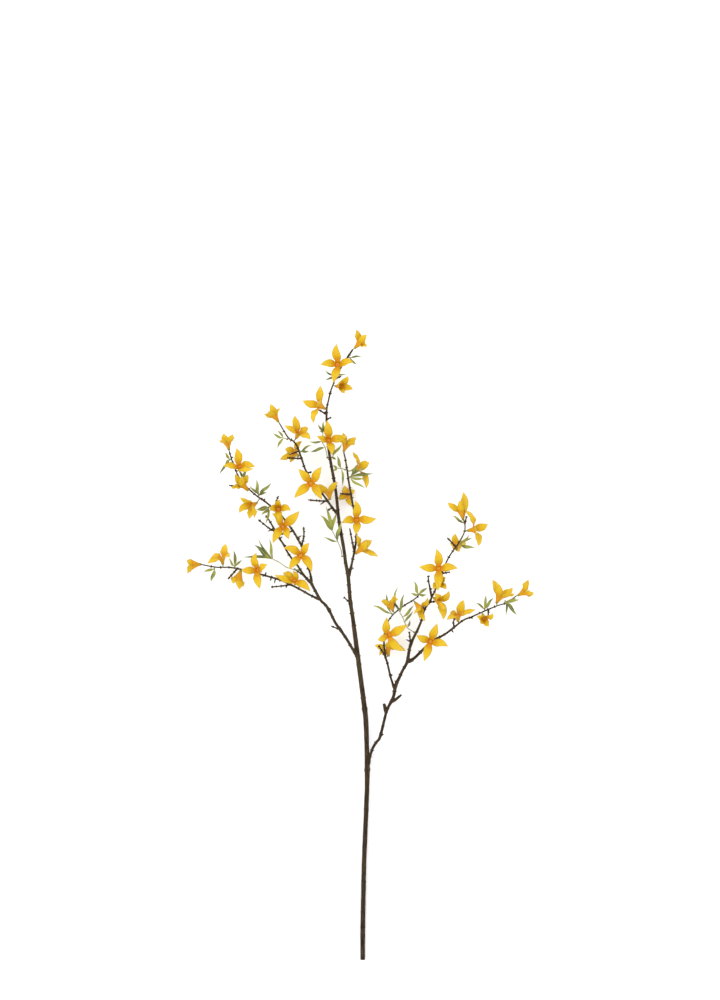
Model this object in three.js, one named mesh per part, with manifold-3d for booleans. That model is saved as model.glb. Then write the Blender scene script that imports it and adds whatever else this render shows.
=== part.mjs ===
// Forsythia branch: one cut stem with two side boughs and their twigs, with open yellow blooms
// and sprays of young leaves along them. It lies on its side, as a cut branch does on a table.
// Millimetres. X runs across the branch, Y from the cut end to the tip, Z up off the table.
// The origin is on the small flat under the cut end, which rests on the table.

import * as THREE from 'three';
import { mergeVertices } from 'three/addons/utils/BufferGeometryUtils.js';
import Module from 'manifold-3d';

const wasm = await Module();
wasm.setup();

// ---- Driving dimensions ----

const BUTT_WIDTH = 5.8; // thickness of the stem at the cut end
const STEM_SIDES = 8;
const BOUGH_SIDES = 6;
const TWIG_SIDES = 5;
const SPUR_SIDES = 4;
const THORN_SIDES = 3;
const STALK_SIDES = 3;
const FLAT_END = 8; // the stem lies flat on the table up to here
const STEM_SLOPE = 0.028; // then it lifts by this much for each millimetre,
const STEM_CURVE = 0.00002; // and its tip curves up

const SPUR_TIP = 1.5; // width of a cut spur at its end
const SPUR_ROOT = 2.3;
const THORN_ROOT = 1.9; // width of a bud spine where it leaves the bark
const THORN_TIP = 0.8;

const STALK_WIDTH = 1.7; // the short stalk under a bloom
const CALYX_WIDTH = 2.9; // the cup at its end
const SEAT_GAP = 0.3; // between a bloom or a leaf spray and the wood that carries it

const TUBE_LENGTH = 7; // from the foot of a bloom to its throat
const FOOT_RADIUS = 1.3;
const THROAT_RADIUS = 3.1;
const THROAT_DEPTH = 4;
const THROAT_FLOOR_RADIUS = 1.1;
const WEB_REACH = 1.7; // between two petals the rim stands out by this much,
const WEB_RISE = 0.6; // and rises by this share of it
const PETAL_THICKNESS = 0.8;
const PETAL_ROOT = 0.5; // how far a petal reaches down into the rim of the throat
const PETAL_WIDTH = 4.4; // a petal is this wide,
const PETAL_GAIN = 0.22; // and wider by this for each millimetre of its length
const PETAL_CREASE = 0.8; // how far a petal's edges stand above its middle line
const PETAL_TURN = 1.6; // how strongly a petal turns its face up to the light towards its tip
const PETAL_TWIST = 0.4; // largest turn of a petal about its own length, in radians
const PETAL_ROWS = [[0.3, 1], [0.7, 0.68]]; // [share of the length, share of the width]

const BEAD_RADIUS = 1.3; // the bud that a spray of leaves grows from
const LEAF_THICKNESS = 0.7;
const LEAF_ROOT_DEPTH = 0.5; // from the middle of the bud or stalk to where a leaf begins
const LEAF_ARCH = 0.1; // rise of a leaf's middle, as a share of its length
const LEAF_CREASE = 0.4;
const LEAF_ROLL = 0.6; // largest roll of a leaf about its own length, in radians
const LONG_LEAF = 19; // a longer leaf has a second row of points
const LEAF_ROWS = [[0.34, 1], [0.7, 0.75]];
const SHORT_LEAF_ROWS = [[0.45, 1]];
const LEAF_STALK_WIDTH = 1.3;

// ---- Small helpers ----

const UP = new THREE.Vector3(0, 0, 1);

function vector(list) {
  return new THREE.Vector3(...list);
}

function seededRandom(seed) {
  let state = seed;
  return () => {
    state = (state * 16807) % 2147483647;
    return state / 2147483647;
  };
}

// A solid from its points and triangles. A triangle with two corners in one point is left out.
function solid(points, triangles) {
  const whole = triangles.filter(([a, b, c]) => a !== b && b !== c && c !== a);
  const mesh = new wasm.Mesh({
    numProp: 3,
    vertProperties: new Float32Array(points.flatMap((p) => [p.x, p.y, p.z])),
    triVerts: new Uint32Array(whole.flat()),
  });
  return new wasm.Manifold(mesh);
}

function solidOf(geometry) {
  geometry.deleteAttribute('normal');
  geometry.deleteAttribute('uv');
  const merged = mergeVertices(geometry, 1e-4);
  const mesh = new wasm.Mesh({
    numProp: 3,
    vertProperties: merged.attributes.position.array,
    triVerts: new Uint32Array(merged.index.array),
  });
  return new wasm.Manifold(mesh);
}

function joined(solids) {
  return solids.reduce((whole, piece) => whole.add(piece));
}

function geometryOf(body) {
  const mesh = body.getMesh();
  const geometry = new THREE.BufferGeometry();
  geometry.setAttribute('position', new THREE.BufferAttribute(mesh.vertProperties, 3));
  geometry.setIndex(new THREE.BufferAttribute(mesh.triVerts, 1));
  geometry.computeVertexNormals();
  return geometry;
}

// A stick of wood through the points, with its foot cut square and its end square to the given
// direction. With an even number of sides one flat side faces down.
function stick(points, widths, sides, endDirection = null) {
  const rings = points.map((point, i) => {
    const before = points[Math.max(i - 1, 0)];
    const after = points[Math.min(i + 1, points.length - 1)];
    const back = point.clone().sub(before).normalize();
    const ahead = after.clone().sub(point).normalize();
    const isEnd = i === points.length - 1;
    const along = isEnd && endDirection ? endDirection : back.add(ahead).normalize();
    const reference = Math.abs(along.z) > 0.95 ? new THREE.Vector3(0, 1, 0) : UP;
    const side = new THREE.Vector3().crossVectors(along, reference).normalize();
    const top = new THREE.Vector3().crossVectors(side, along);
    return Array.from({ length: sides }, (_, k) => {
      const angle = ((k + 0.5) / sides) * 2 * Math.PI + Math.PI / 2;
      const spoke = side.clone().multiplyScalar(Math.cos(angle));
      spoke.addScaledVector(top, Math.sin(angle));
      return point.clone().addScaledVector(spoke, widths[i] / 2);
    });
  });
  const vertices = rings.flat();
  const last = (points.length - 1) * sides;
  const triangles = [];
  for (let ring = 0; ring < points.length - 1; ring += 1) {
    for (let k = 0; k < sides; k += 1) {
      const a = ring * sides + k;
      const b = ring * sides + ((k + 1) % sides);
      triangles.push([a, a + sides, b], [b, a + sides, b + sides]);
    }
  }
  for (let k = 1; k < sides - 1; k += 1) {
    triangles.push([0, k, k + 1], [last, last + k + 1, last + k]);
  }
  return solid(vertices, triangles);
}

// ---- Wood: the stem, its boughs and twigs ----

// Each is a list of [x, y, width] from its foot to its tip. A side branch starts at the height
// of its parent there and climbs evenly to the height of its tip.
const BRANCHES = {
  main: { parent: null, tip: 0, points: [
    [0, -6, 5.8], [0, 7.8, 5.8], [0, 30.6, 6.1], [0, 33.6, 6.6], [0.1, 37.2, 6], [1, 85.2, 5.9],
    [1.1, 88.2, 6.4], [1.1, 91.8, 5.9], [1.8, 117, 5.9], [4.1, 172.2, 6],
    [4.2, 174.6, 6.5], [4.3, 178.8, 6], [5.2, 204.6, 6], [5.4, 228.6, 6.6], [4.8, 252.6, 5.9],
    [4, 276.6, 6.5], [2.2, 297, 6.3], [-6.6, 364.2, 6], [-12, 406.2, 5],
    [-15, 426.6, 4.7], [-17.6, 456.6, 4.8], [-20.4, 471, 4.3], [-22.8, 489, 4.1],
    [-28.8, 525, 4], [-32.4, 558.6, 3.7], [-39.8, 600.6, 3.6], [-42, 618.6, 2.8], [-43.2, 633, 2.5],
    [-43.2, 655.2, 2.3], [-41, 666.6, 2], [-38.6, 676.8, 2.2], [-35.8, 684.6, 1.9],
    [-30.6, 697.8, 1.8], [-24.6, 707.4, 1.8], [-19.2, 716.4, 2.8], [-12, 727.2, 2.4],
  ] },
  a: { parent: 'main', tip: 36, points: [
    [-30, 529.8, 2.6], [-36.6, 538.2, 2.6], [-48.6, 555, 2.5], [-58.2, 565.8, 2.5],
    [-66.6, 579.6, 2.4], [-70.2, 587.4, 2.3], [-73.2, 597, 2.3], [-78.6, 611.4, 2.2],
    [-82.8, 617.4, 2.1], [-89.4, 622.2, 1.9], [-99.6, 639, 1.6],
  ] },
  r: { parent: 'main', tip: 33, points: [
    [-17.6, 454.2, 3.1], [-15, 462.6, 3], [-8.6, 493.8, 2.7], [-7.8, 510.6, 2.6], [-9, 525, 2.5],
    [-16.8, 569.4, 2.3], [-18.6, 582.6, 2.2], [-21, 597, 1.9], [-22.7, 604.2, 1.7],
  ] },
  r_side: { parent: 'r', tip: 20, points: [
    [-10.2, 486.6, 2.2], [-12.6, 497.4, 2], [-15.6, 513, 1.6],
  ] },
  right: { parent: 'main', tip: 34, points: [
    [5.8, 228.6, 4.8], [8.4, 238.2, 3.4], [11.4, 247.8, 3.4], [16.2, 256.2, 3.5], [21, 263.4, 3.7],
    [28.2, 292.2, 3.6], [34.2, 305.4, 3.8], [37.2, 312.6, 4.1],
    [38.4, 319.8, 4.3], [40.8, 328.2, 4.8], [43.2, 333, 4.1], [48, 343.2, 3.6], [53.2, 352.8, 4],
    [55.4, 365.4, 3.8], [58.2, 376.2, 3.4], [65.8, 391.8, 3.1], [70.2, 402.6, 2.8],
    [73.8, 415.8, 2.5], [80, 424.8, 2.6], [82.8, 431.4, 2.5], [86.4, 438.6, 2.2], [90.6, 450.6, 2],
    [100.9, 474.8, 1.9], [108.1, 486.6, 1.8], [114.8, 495.8, 1.8], [121.7, 509.6, 1.6],
    [122, 520.2, 1.4],
  ] },
  stub: { parent: 'right', tip: 14, points: [[28.2, 292.2, 4.2], [27.2, 296.6, 3.8], [25.4, 302.6, 3.6]] },
  nub: { parent: 'right', tip: 17, points: [[34.2, 305.4, 3.6], [40.8, 308.8, 3.2], [46.2, 313.4, 2.4]] },
  g: { parent: 'right', tip: 28, points: [
    [82.2, 432, 2.2], [80.4, 442.2, 2], [78.8, 450, 1.9], [78.4, 456.6, 1.8],
  ] },
  c: { parent: 'right', tip: 28, points: [
    [38.4, 319.8, 2.9], [33.6, 334.2, 2.8], [29.4, 352.2, 2.6], [27, 360, 2.8], [25.4, 377.4, 2.2],
    [26.4, 390.6, 2], [28.8, 399, 1.8], [36.6, 410.4, 1.6], [51, 421.8, 1.8], [58.2, 426, 1.7],
    [66.4, 432, 1.6],
  ] },
  d: { parent: 'right', tip: 30, points: [
    [53.8, 352.8, 3.4], [62.3, 358.2, 3.6], [81, 376.2, 3], [100.2, 387.6, 2.6],
    [119.4, 402.6, 2.2], [130, 407, 1.9], [137.4, 410.6, 1.9], [160.1, 420.4, 1.7],
    [170.8, 423.8, 1.6], [184.2, 432.8, 1.4],
  ] },
  left: { parent: 'main', tip: 21, points: [
    [-6, 360.6, 4.8], [-12.6, 369, 3.6], [-17.4, 377.4, 3.6], [-27, 391.8, 3.7], [-33, 400.2, 3.5],
    [-40.2, 414.6, 3.7], [-45, 421.8, 3.6], [-51, 427.8, 3.6], [-61.8, 447.6, 3.6],
  ] },
  h: { parent: 'left', tip: 24, points: [
    [-51, 427.8, 3], [-61.8, 432.6, 2.6], [-75, 440, 2.5], [-87, 446, 2.5], [-100.8, 452, 2.3],
    [-132.6, 460.8, 2.2], [-156.6, 466.2, 1.8], [-175.8, 466.8, 1.7], [-193.2, 470, 1.6],
  ] },
  j: { parent: 'left', tip: 32, points: [
    [-61.8, 447.6, 2.9], [-70.2, 456.6, 2.6], [-78, 468.6, 2.5], [-85.2, 477.4, 2.5],
    [-91.2, 486.6, 2.4], [-94, 492.6, 2.4], [-101.4, 504.1, 2.3], [-111, 521.4, 2],
    [-116, 528.6, 1.7],
  ] },
  k: { parent: 'left', tip: 36, points: [
    [-61.6, 447.7, 2.9], [-63, 459, 2.6], [-69.6, 478.2, 2.5], [-72.6, 490.2, 2.4],
    [-77.4, 499.8, 2.4], [-83.8, 510.6, 2.4], [-95.4, 526.2, 2.3], [-103.8, 534.6, 2.3],
    [-117.5, 546, 2.2], [-124.7, 550.7, 2.1], [-134.4, 558.6, 2], [-143.4, 568.2, 1.9],
    [-149.2, 576.6, 1.9], [-155.5, 592.2, 1.8], [-159.5, 605.4, 1.6],
  ] },
};

// Cut spurs and short dead twigs, each from the bark outwards.
const SPURS = [
  [[4.2, 223.2], [2.2, 223.8]],
  [[-14.4, 423], [-22.8, 430.8]],
  [[-43.4, 643.8], [-37.8, 646.2]],
  [[-43.2, 649.8], [-48.6, 652.8], [-54.6, 656.4]],
  [[-30.6, 691.2], [-25.8, 695.4]],
  [[-36.6, 538.2], [-41.4, 535.2]],
  [[-41.9, 546], [-53.4, 546.4], [-65.4, 547.4]],
  [[-66.6, 579.6], [-61.2, 580.8]],
  [[-73.2, 597], [-82.2, 597.2], [-90, 597.6]],
  [[-13.8, 553.8], [-27, 555]],
  [[35.4, 304.2], [46.2, 313.8]],
  [[57, 373.8], [55.7, 389.4]],
  [[73.6, 415.8], [71.4, 422.4]],
  [[80, 424.8], [88.8, 426]],
  [[94.8, 458.4], [99, 460.2], [104.4, 460.8]],
  [[111, 491.4], [101.3, 502]],
  [[121.8, 519], [124.1, 527.8]],
  [[27, 360], [22.8, 366.6], [19.2, 372.6]],
  [[43.8, 415.8], [39.6, 420.6]],
  [[109.8, 394.8], [108.6, 401.4], [111, 406.2]],
  [[150.6, 416.2], [150.6, 408.6], [155, 406.2]],
  [[-27, 391.8], [-37.8, 396]],
  [[-87, 446], [-91.8, 444.8], [-110, 442.8]],
  [[-150.6, 464.6], [-158.4, 456], [-161, 453]],
  [[-70.2, 456.6], [-82.4, 464.8]],
  [[-104.3, 509.2], [-112, 513.4], [-124.7, 523.6]],
  [[-73.8, 492], [-70.6, 503.4], [-70.8, 514.8]],
  [[-83.8, 510.6], [-93, 507], [-100.8, 506.4]],
  [[-103.8, 534.6], [-104.3, 542.6], [-101, 551.9]],
  [[-141, 565.8], [-151.3, 564.1], [-159.8, 564.8]],
];

// Bud spines, each given by its tip.
const THORNS = [
  [-57.2, 552.6], [-51.8, 541.2], [-88.8, 601.2], [-10.4, 465.2], [-10.2, 503.4],
  [25.8, 265.2], [51.6, 380.2], [83.8, 441], [76.2, 450], [36.4, 337.6], [66.6, 367.2],
  [91.2, 385.2], [109, 388.2], [131.4, 404.6], [-111, 449.9], [-115.7, 461.4], [-91.4, 493.3],
  [-114.1, 509.4], [-67.9, 464.4], [-73.1, 504.8], [-75, 501.4], [-116.8, 549.2],
  [-106.2, 447], [-92.5, 441], [-154.2, 598.8], [-36.8, 674.6], [-1.8, 295.8], [-38, 417.6],
  [-45.6, 652.6], [-96, 503.4],
];

function stemHeight(y) {
  const run = Math.max(y - FLAT_END, 0);
  const lying = (BUTT_WIDTH / 2) * Math.cos(Math.PI / STEM_SIDES);
  return lying + STEM_SLOPE * run + STEM_CURVE * run * run;
}

// The nearest place on the middle line of any branch laid so far, seen from above.
function nearestWood(x, y, paths) {
  let best = { distance: Infinity };
  for (const { points, widths } of paths) {
    for (let i = 0; i < points.length - 1; i += 1) {
      const run = points[i + 1].clone().sub(points[i]);
      const flat = run.x * run.x + run.y * run.y;
      const share = ((x - points[i].x) * run.x + (y - points[i].y) * run.y) / flat;
      const step = Math.min(Math.max(share, 0), 1);
      const place = points[i].clone().addScaledVector(run, step);
      const distance = Math.hypot(place.x - x, place.y - y);
      if (distance < best.distance) {
        const width = widths[i] + (widths[i + 1] - widths[i]) * step;
        best = { place, width, distance };
      }
    }
  }
  return best;
}

const SIDES = { main: STEM_SIDES, left: BOUGH_SIDES, right: BOUGH_SIDES };
const paths = {};
for (const [name, { parent, tip, points }] of Object.entries(BRANCHES)) {
  const lengths = [0];
  for (let i = 1; i < points.length; i += 1) {
    const step = Math.hypot(points[i][0] - points[i - 1][0], points[i][1] - points[i - 1][1]);
    lengths.push(lengths[i - 1] + step);
  }
  const total = lengths[points.length - 1];
  const foot = parent ? nearestWood(points[0][0], points[0][1], [paths[parent]]).place.z : 0;
  paths[name] = {
    points: points.map(([x, y], i) => {
      const height = parent ? foot + (tip - foot) * (lengths[i] / total) : stemHeight(y);
      return new THREE.Vector3(x, y, height);
    }),
    widths: points.map((point) => point[2]),
  };
}
const allPaths = Object.values(paths);

const woodPieces = Object.entries(paths).map(([name, { points, widths }]) =>
  stick(points, widths, SIDES[name] ?? TWIG_SIDES));

const spurRandom = seededRandom(11);
for (const spur of SPURS) {
  const foot = nearestWood(...spur[0], allPaths).place;
  const beyond = spur.slice(1).map(([x, y]) => {
    const reach = Math.hypot(x - foot.x, y - foot.y);
    return new THREE.Vector3(x, y, foot.z + (spurRandom() - 0.4) * 0.4 * reach);
  });
  const points = [foot, ...beyond];
  const last = points.length - 1;
  const widths = points.map((_, i) => SPUR_ROOT + ((SPUR_TIP - SPUR_ROOT) * i) / last);
  woodPieces.push(stick(points, widths, SPUR_SIDES));
}

const thornRandom = seededRandom(23);
for (const [x, y] of THORNS) {
  const { place, distance } = nearestWood(x, y, allPaths);
  const tip = new THREE.Vector3(x, y, place.z + (thornRandom() - 0.3) * distance);
  woodPieces.push(stick([place, tip], [THORN_ROOT, THORN_TIP], THORN_SIDES));
}

// ---- Blooms ----

// base: the foot of the bloom, as [x, y, height above the twig that carries it].
// facing: the way its tube points, as [bearing from X, angle above the table] in degrees.
// tips: where its four petals end, measured from the middle of its throat.
const BLOOMS = {
  b01: { base: [-9.6, 729, 0.5], facing: [45, 15],
    tips: [[-3, 17, 8], [10, 11, 10], [9, -4, 12], [8, 2, -14]] },
  b02: { base: [-29.7, 707.8, 3.2], facing: [100, 78],
    tips: [[-5, -23, 5], [19, 2, 12], [-1, 25, 5], [-21, -1, 9]] },
  b03: { base: [-32.4, 683.4, 0], facing: [0, 45],
    tips: [[10, 12, 6], [16, -4, 5], [6, -9, 6], [-1, 5, 14]] },
  b04: { base: [-45, 656.4, 3.5], facing: [150, 25],
    tips: [[-8, -21, 6], [0, 6, 22], [0, 25, -5], [-22, 7, -5]] },
  b05: { base: [-41.8, 615.8, 3.2], facing: [70, 65],
    tips: [[-14, 5, 14], [4, -18, 12], [23, 5, 7], [-2, 24, 5]] },
  b06: { base: [-22.7, 605.6, 0], facing: [70, 10],
    tips: [[-12, 10, 13], [11, 4, 13], [13, 10, -6], [-3, 16, 2]] },
  b08: { base: [-39.5, 547.8, 2], facing: [98, 12],
    tips: [[-19, 10, 13], [11, 14, 14], [9, 11, 1], [-16, 9, 5]] },
  b09: { base: [-62, 566.2, 3.2], facing: [90, 80],
    tips: [[-20, -18, 5], [13, -20, 5], [13, 20, 5], [-15, 17, 5]] },
  b10: { base: [-100.8, 640.8, 0], facing: [122, 10],
    tips: [[-8, 6, 16], [4, 10, 10], [-6, 16, -7], [-14, 3, 5]] },
  b11: { base: [-79.8, 621, 0], facing: [65, 30],
    tips: [[-16, 10, 14], [15, -7, 16], [12, 7, -10], [-4, 22, -7]] },
  b12: { base: [-76.8, 600, 0], facing: [150, -35],
    tips: [[-18, -7, 0], [-11, 5, 11], [9, 15, -9], [-6, -11, -15]] },
  b13: { base: [-12.6, 582.6, 0], facing: [20, -5],
    tips: [[-6, 20, 5], [14, 7, 17], [10, -24, 5], [8, 3, -21]] },
  b14: { base: [-7.9, 522.3, 3.2], facing: [60, 80],
    tips: [[-18, -4, 12], [-1, -18, 13], [24, 2, 5], [-2, 24, 5]] },
  b15: { base: [-8.4, 483, 0.8], facing: [42, 15],
    tips: [[8, 11, 19], [22, -8, 5], [15, 11, -13], [-5, 18, 6]] },
  b16: { base: [-14.1, 555, -3.2], facing: [200, -60],
    tips: [[-11, -7, -7], [-4, 11, -14], [8, 5, -17], [4, -14, -13]] },
  b20: { base: [31, 360, -3.5], facing: [100, -12],
    tips: [[-16, 6, -3], [10, 8, 22], [22, -1, -5], [-10, -7, -10]] },
  b21: { base: [34.9, 386.9, 3], facing: [200, 62],
    tips: [[19, -19, 3], [22, 13, 5], [-3, 22, 7], [-14, -6, -2]] },
  b22: { base: [36.2, 414.6, 6], facing: [112, 10],
    tips: [[-8, 8, 14], [4, 12, 12], [9, 8, -1], [-12, 5, -3]] },
  b23: { base: [62.6, 424.7, 3], facing: [-50, 20],
    tips: [[11, 11, 12], [8, -17, 8], [-6, -8, 12], [1, -15, -2]] },
  b25: { base: [90.6, 464.2, 3.2], facing: [90, 80],
    tips: [[-24, 2, 5], [-1, -27, 5], [23, 0, 5], [-3, 24, 5]] },
  b26: { base: [88.5, 444, 3.2], facing: [60, 50],
    tips: [[8, 7, 10], [-6, 9, 9], [-6, -8, 8], [9, -7, 8]] },
  b27: { base: [85, 430, 2.5], facing: [-30, 30],
    tips: [[13, 12, 4], [6, -23, 2], [-5, 9, 12], [9, -9, 14]] },
  b28: { base: [112.2, 488.5, -3.2], facing: [90, -60],
    tips: [[-7, 2, -16], [-1, 15, -8], [11, -3, -16], [4, -7, -21.8]] },
  b29: { base: [125.4, 510.6, 0], facing: [10, 15],
    tips: [[-11, 24, 2], [2, -4, 23], [6, -20, -6], [18, 7, -12]] },
  b30: { base: [120, 523.8, 0], facing: [98, 5],
    tips: [[-4, 16, 11], [5, 17, 9], [1, 27, -5], [-18, 14, -5]] },
  b31: { base: [81, 377.1, 3.2], facing: [90, 82],
    tips: [[-8, -24, 5], [21, -6, 10], [8, 22, 5], [-17, 8, 9]] },
  b32: { base: [114, 402, 0], facing: [90, 25],
    tips: [[-14, -4, 17], [21, 8, 5], [7, 19, -10], [-9, 4, -7]] },
  b33: { base: [143.6, 410.3, 0], facing: [-70, 50],
    tips: [[10, 6, 8], [-9, 3, 8], [6, -10, 5], [-5, -6, 10]] },
  b34: { base: [160.1, 423.8, 0], facing: [65, 10],
    tips: [[-4, 19, 14], [18, 5, 16], [17, 12, -12], [-8, 22, -5]] },
  b35: { base: [186, 433.2, 0], facing: [30, 8],
    tips: [[2, 13, 13], [12, 0, 12], [10, -5, -5], [7, 15, -9]] },
  b36: { base: [-160, 607.4, 0], facing: [102, 8],
    tips: [[-9, 4, 13], [9, 8, 14], [6, 12, -5], [-5, 13, -10]] },
  b37: { base: [-147, 583.1, 2.5], facing: [90, 58],
    tips: [[-20, 1, 9], [17, -2, 14], [19, 0, 8], [-4, 23, -5]] },
  b38: { base: [-137.4, 558.6, 3.5], facing: [130, 20],
    tips: [[-15, -3, 10], [-2, 12, 18], [5, 14, 6], [-11, 15, 0]] },
  b39a: { base: [-127, 543.6, 2.5], facing: [205, 45],
    tips: [[-4, -17, 6], [-15, 9, 9], [-16, -10, -5], [2, -16, 9]] },
  b39b: { base: [-101.2, 534.8, 3.2], facing: [80, 75],
    tips: [[-10, -2, 14], [1, -13, 13], [15, -2, 10], [2, 11, 9]] },
  b39c: { base: [-97, 514.5, 3.2], facing: [30, 75],
    tips: [[-13, 16, 11], [-12, -20, 5], [7, -15, 9], [20, 19, 5]] },
  b40: { base: [-74, 480, 3.2], facing: [90, 80],
    tips: [[-14, -17, 6], [13, -20, 5], [10, 15, 7], [-21, 9, 5]] },
  b41: { base: [-122.5, 463.6, 3.2], facing: [180, 62],
    tips: [[3, -23, 5], [12, 7, 18], [-1, 21, 10], [-20, 0, -1]] },
  b42: { base: [-81, 446.2, 3], facing: [100, 50],
    tips: [[-24, 7, 5], [19, -13, 5], [-2, 12, -4], [-14, 9, -11]] },
  b43: { base: [-146, 462.6, 0], facing: [-110, -5],
    tips: [[1, -16, 9], [-7, -9, 7], [-7, -3, -21.7], [5, -13, -11]] },
  b44: { base: [-167.6, 470.4, 0], facing: [100, 15],
    tips: [[-17, -6, 15], [10, 2, 21], [4, 18, -13], [-12, 3, -9]] },
  b45: { base: [-193.8, 470.2, 0], facing: [182, 8],
    tips: [[-9, -11, 12], [-10, 5, 13], [-9, 3, -9], [-10, -8, -7]] },
};

// Blooms that grow into each other are one body.
const FUSED = [
  ['05', '06'],
  ['08', '09'],
  ['20', '21'],
  ['25', '26'],
  ['29', '30'],
  ['39b', '39c'],
];

function facingVector([bearing, rise]) {
  const turn = THREE.MathUtils.degToRad(bearing);
  const lift = THREE.MathUtils.degToRad(rise);
  return new THREE.Vector3(
    Math.cos(lift) * Math.cos(turn),
    Math.cos(lift) * Math.sin(turn),
    Math.sin(lift),
  );
}

// One bloom: a tube that widens from the foot to a hollow throat, and four creased petals that
// root in the throat's rim. Petals that lie over each other grow together there.
function bloomSolid(base, facing, tips, random) {
  const axis = facingVector(facing);
  const across = new THREE.Vector3().crossVectors(axis, UP).normalize();
  const over = new THREE.Vector3().crossVectors(axis, across);
  const petals = tips.map(vector);
  const bearing = (tip) => Math.atan2(tip.dot(over), tip.dot(across));
  petals.sort((a, b) => bearing(a) - bearing(b));
  const spin = petals.reduce((sum, tip, k) => sum + bearing(tip) - (k * Math.PI) / 2, 0) / 4;
  const spoke = (angle) => across.clone().multiplyScalar(Math.cos(angle))
    .addScaledVector(over, Math.sin(angle));

  const ring = (radius, height, web = 0) => Array.from({ length: 8 }, (_, j) => {
    const reach = j % 2 === 0 ? web : 0;
    const out = spoke(spin + ((j - 1) * Math.PI) / 4).multiplyScalar(radius + reach);
    return base.clone().addScaledVector(axis, height + WEB_RISE * reach).add(out);
  });
  const foot = ring(FOOT_RADIUS, 0);
  const outer = ring(THROAT_RADIUS, TUBE_LENGTH, WEB_REACH);
  const inner = ring(THROAT_RADIUS - PETAL_THICKNESS, TUBE_LENGTH, WEB_REACH);
  const floor = ring(THROAT_FLOOR_RADIUS, TUBE_LENGTH - THROAT_DEPTH);
  const root = ring(THROAT_RADIUS - PETAL_THICKNESS / 2, TUBE_LENGTH - PETAL_ROOT, WEB_REACH);

  const throat = base.clone().addScaledVector(axis, TUBE_LENGTH);
  const pieces = [tubeSolid([foot, outer, inner, floor])];
  petals.forEach((tip, k) => {
    const out = spoke(spin + (k * Math.PI) / 2);
    const rooted = [root, inner, outer].map((row) => [0, 1, 2].map((i) => row[(2 * k + i) % 8]));
    const twist = (random() * 2 - 1) * PETAL_TWIST;
    pieces.push(petalSolid(throat, axis, out, throat.clone().add(tip), twist, rooted));
  });
  return joined(pieces);
}

// A closed wall through rings of eight points, capped at the first and the last.
function tubeSolid(rings) {
  const triangles = [];
  for (let row = 0; row < rings.length - 1; row += 1) {
    for (let j = 0; j < 8; j += 1) {
      const a = row * 8 + j;
      const b = row * 8 + ((j + 1) % 8);
      triangles.push([a, b, a + 8], [b, b + 8, a + 8]);
    }
  }
  const last = (rings.length - 1) * 8;
  for (let j = 1; j < 7; j += 1) {
    triangles.push([0, j + 1, j], [last, last + j, last + j + 1]);
  }
  return solid(rings.flat(), triangles);
}

// One petal from its root inside the rim, through the rim's two edges, to its tip.
function petalSolid(throat, axis, out, tip, twist, rooted) {
  const length = tip.distanceTo(throat);
  const width = PETAL_WIDTH + PETAL_GAIN * length;
  const lean = 0.6 * tip.clone().sub(throat).angleTo(axis);
  const start = throat.clone().addScaledVector(out, THROAT_RADIUS - PETAL_THICKNESS / 2);
  const middle = start.clone();
  middle.addScaledVector(axis, 0.5 * length * Math.cos(lean));
  middle.addScaledVector(out, 0.5 * length * Math.sin(lean));
  const curve = new THREE.QuadraticBezierCurve3(start, middle, tip);
  const sideways = new THREE.Vector3().crossVectors(axis, out);
  const chord = tip.clone().sub(start);
  const turn = PETAL_TURN * Math.sign(new THREE.Vector3().crossVectors(UP, chord).dot(sideways));
  const frameAt = (share) => {
    const along = curve.getTangent(share);
    const wide = sideways.clone().addScaledVector(along, -sideways.dot(along)).normalize();
    const level = new THREE.Vector3().crossVectors(UP, along);
    wide.addScaledVector(level, turn * share).normalize();
    wide.applyAxisAngle(along, twist * share);
    const face = new THREE.Vector3().crossVectors(along, wide);
    return { place: curve.getPoint(share), wide, face };
  };

  const vertices = rooted.flat();
  const triangles = [];
  const add = (point) => vertices.push(point) - 1;
  const root = [0, 1, 2];
  let upper = [3, 4, 5];
  let lower = [6, 7, 8];
  stripTriangles(triangles, root, root, upper, lower);
  for (const [share, fullness] of PETAL_ROWS) {
    const row = frameAt(share);
    const reach = (width / 2) * fullness;
    const rows = [1, -1].map((side) => [-1, 0, 1].map((i) => {
      const rise = (side * PETAL_THICKNESS) / 2 + Math.abs(i) * PETAL_CREASE * fullness;
      const point = row.place.clone().addScaledVector(row.wide, i * reach);
      return add(point.addScaledVector(row.face, rise));
    }));
    stripTriangles(triangles, upper, lower, rows[0], rows[1]);
    [upper, lower] = rows;
  }
  const end = frameAt(1);
  const high = add(end.place.clone().addScaledVector(end.face, PETAL_THICKNESS / 2));
  const low = add(end.place.clone().addScaledVector(end.face, -PETAL_THICKNESS / 2));
  pointTriangles(triangles, upper, lower, high, low);
  return solid(vertices, triangles);
}

// Faces between one row of a blade and the next, alike above and below, with both edges.
function stripTriangles(triangles, upper, lower, nextUpper, nextLower) {
  const [a, b, c] = upper;
  const [d, e, f] = nextUpper;
  const [p, q, r] = lower;
  const [s, t, u] = nextLower;
  triangles.push([a, d, b], [d, e, b], [b, e, c], [e, f, c]);
  triangles.push([p, q, s], [s, q, t], [q, r, t], [t, r, u]);
  triangles.push([a, p, d], [p, s, d], [c, f, r], [f, u, r]);
}

// The faces that close a blade at its tip.
function pointTriangles(triangles, upper, lower, high, low) {
  const [a, b, c] = upper;
  const [p, q, r] = lower;
  triangles.push([a, high, b], [b, high, c], [p, q, low], [q, r, low]);
  triangles.push([a, p, high], [p, low, high], [c, high, r], [high, low, r]);
}

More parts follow.
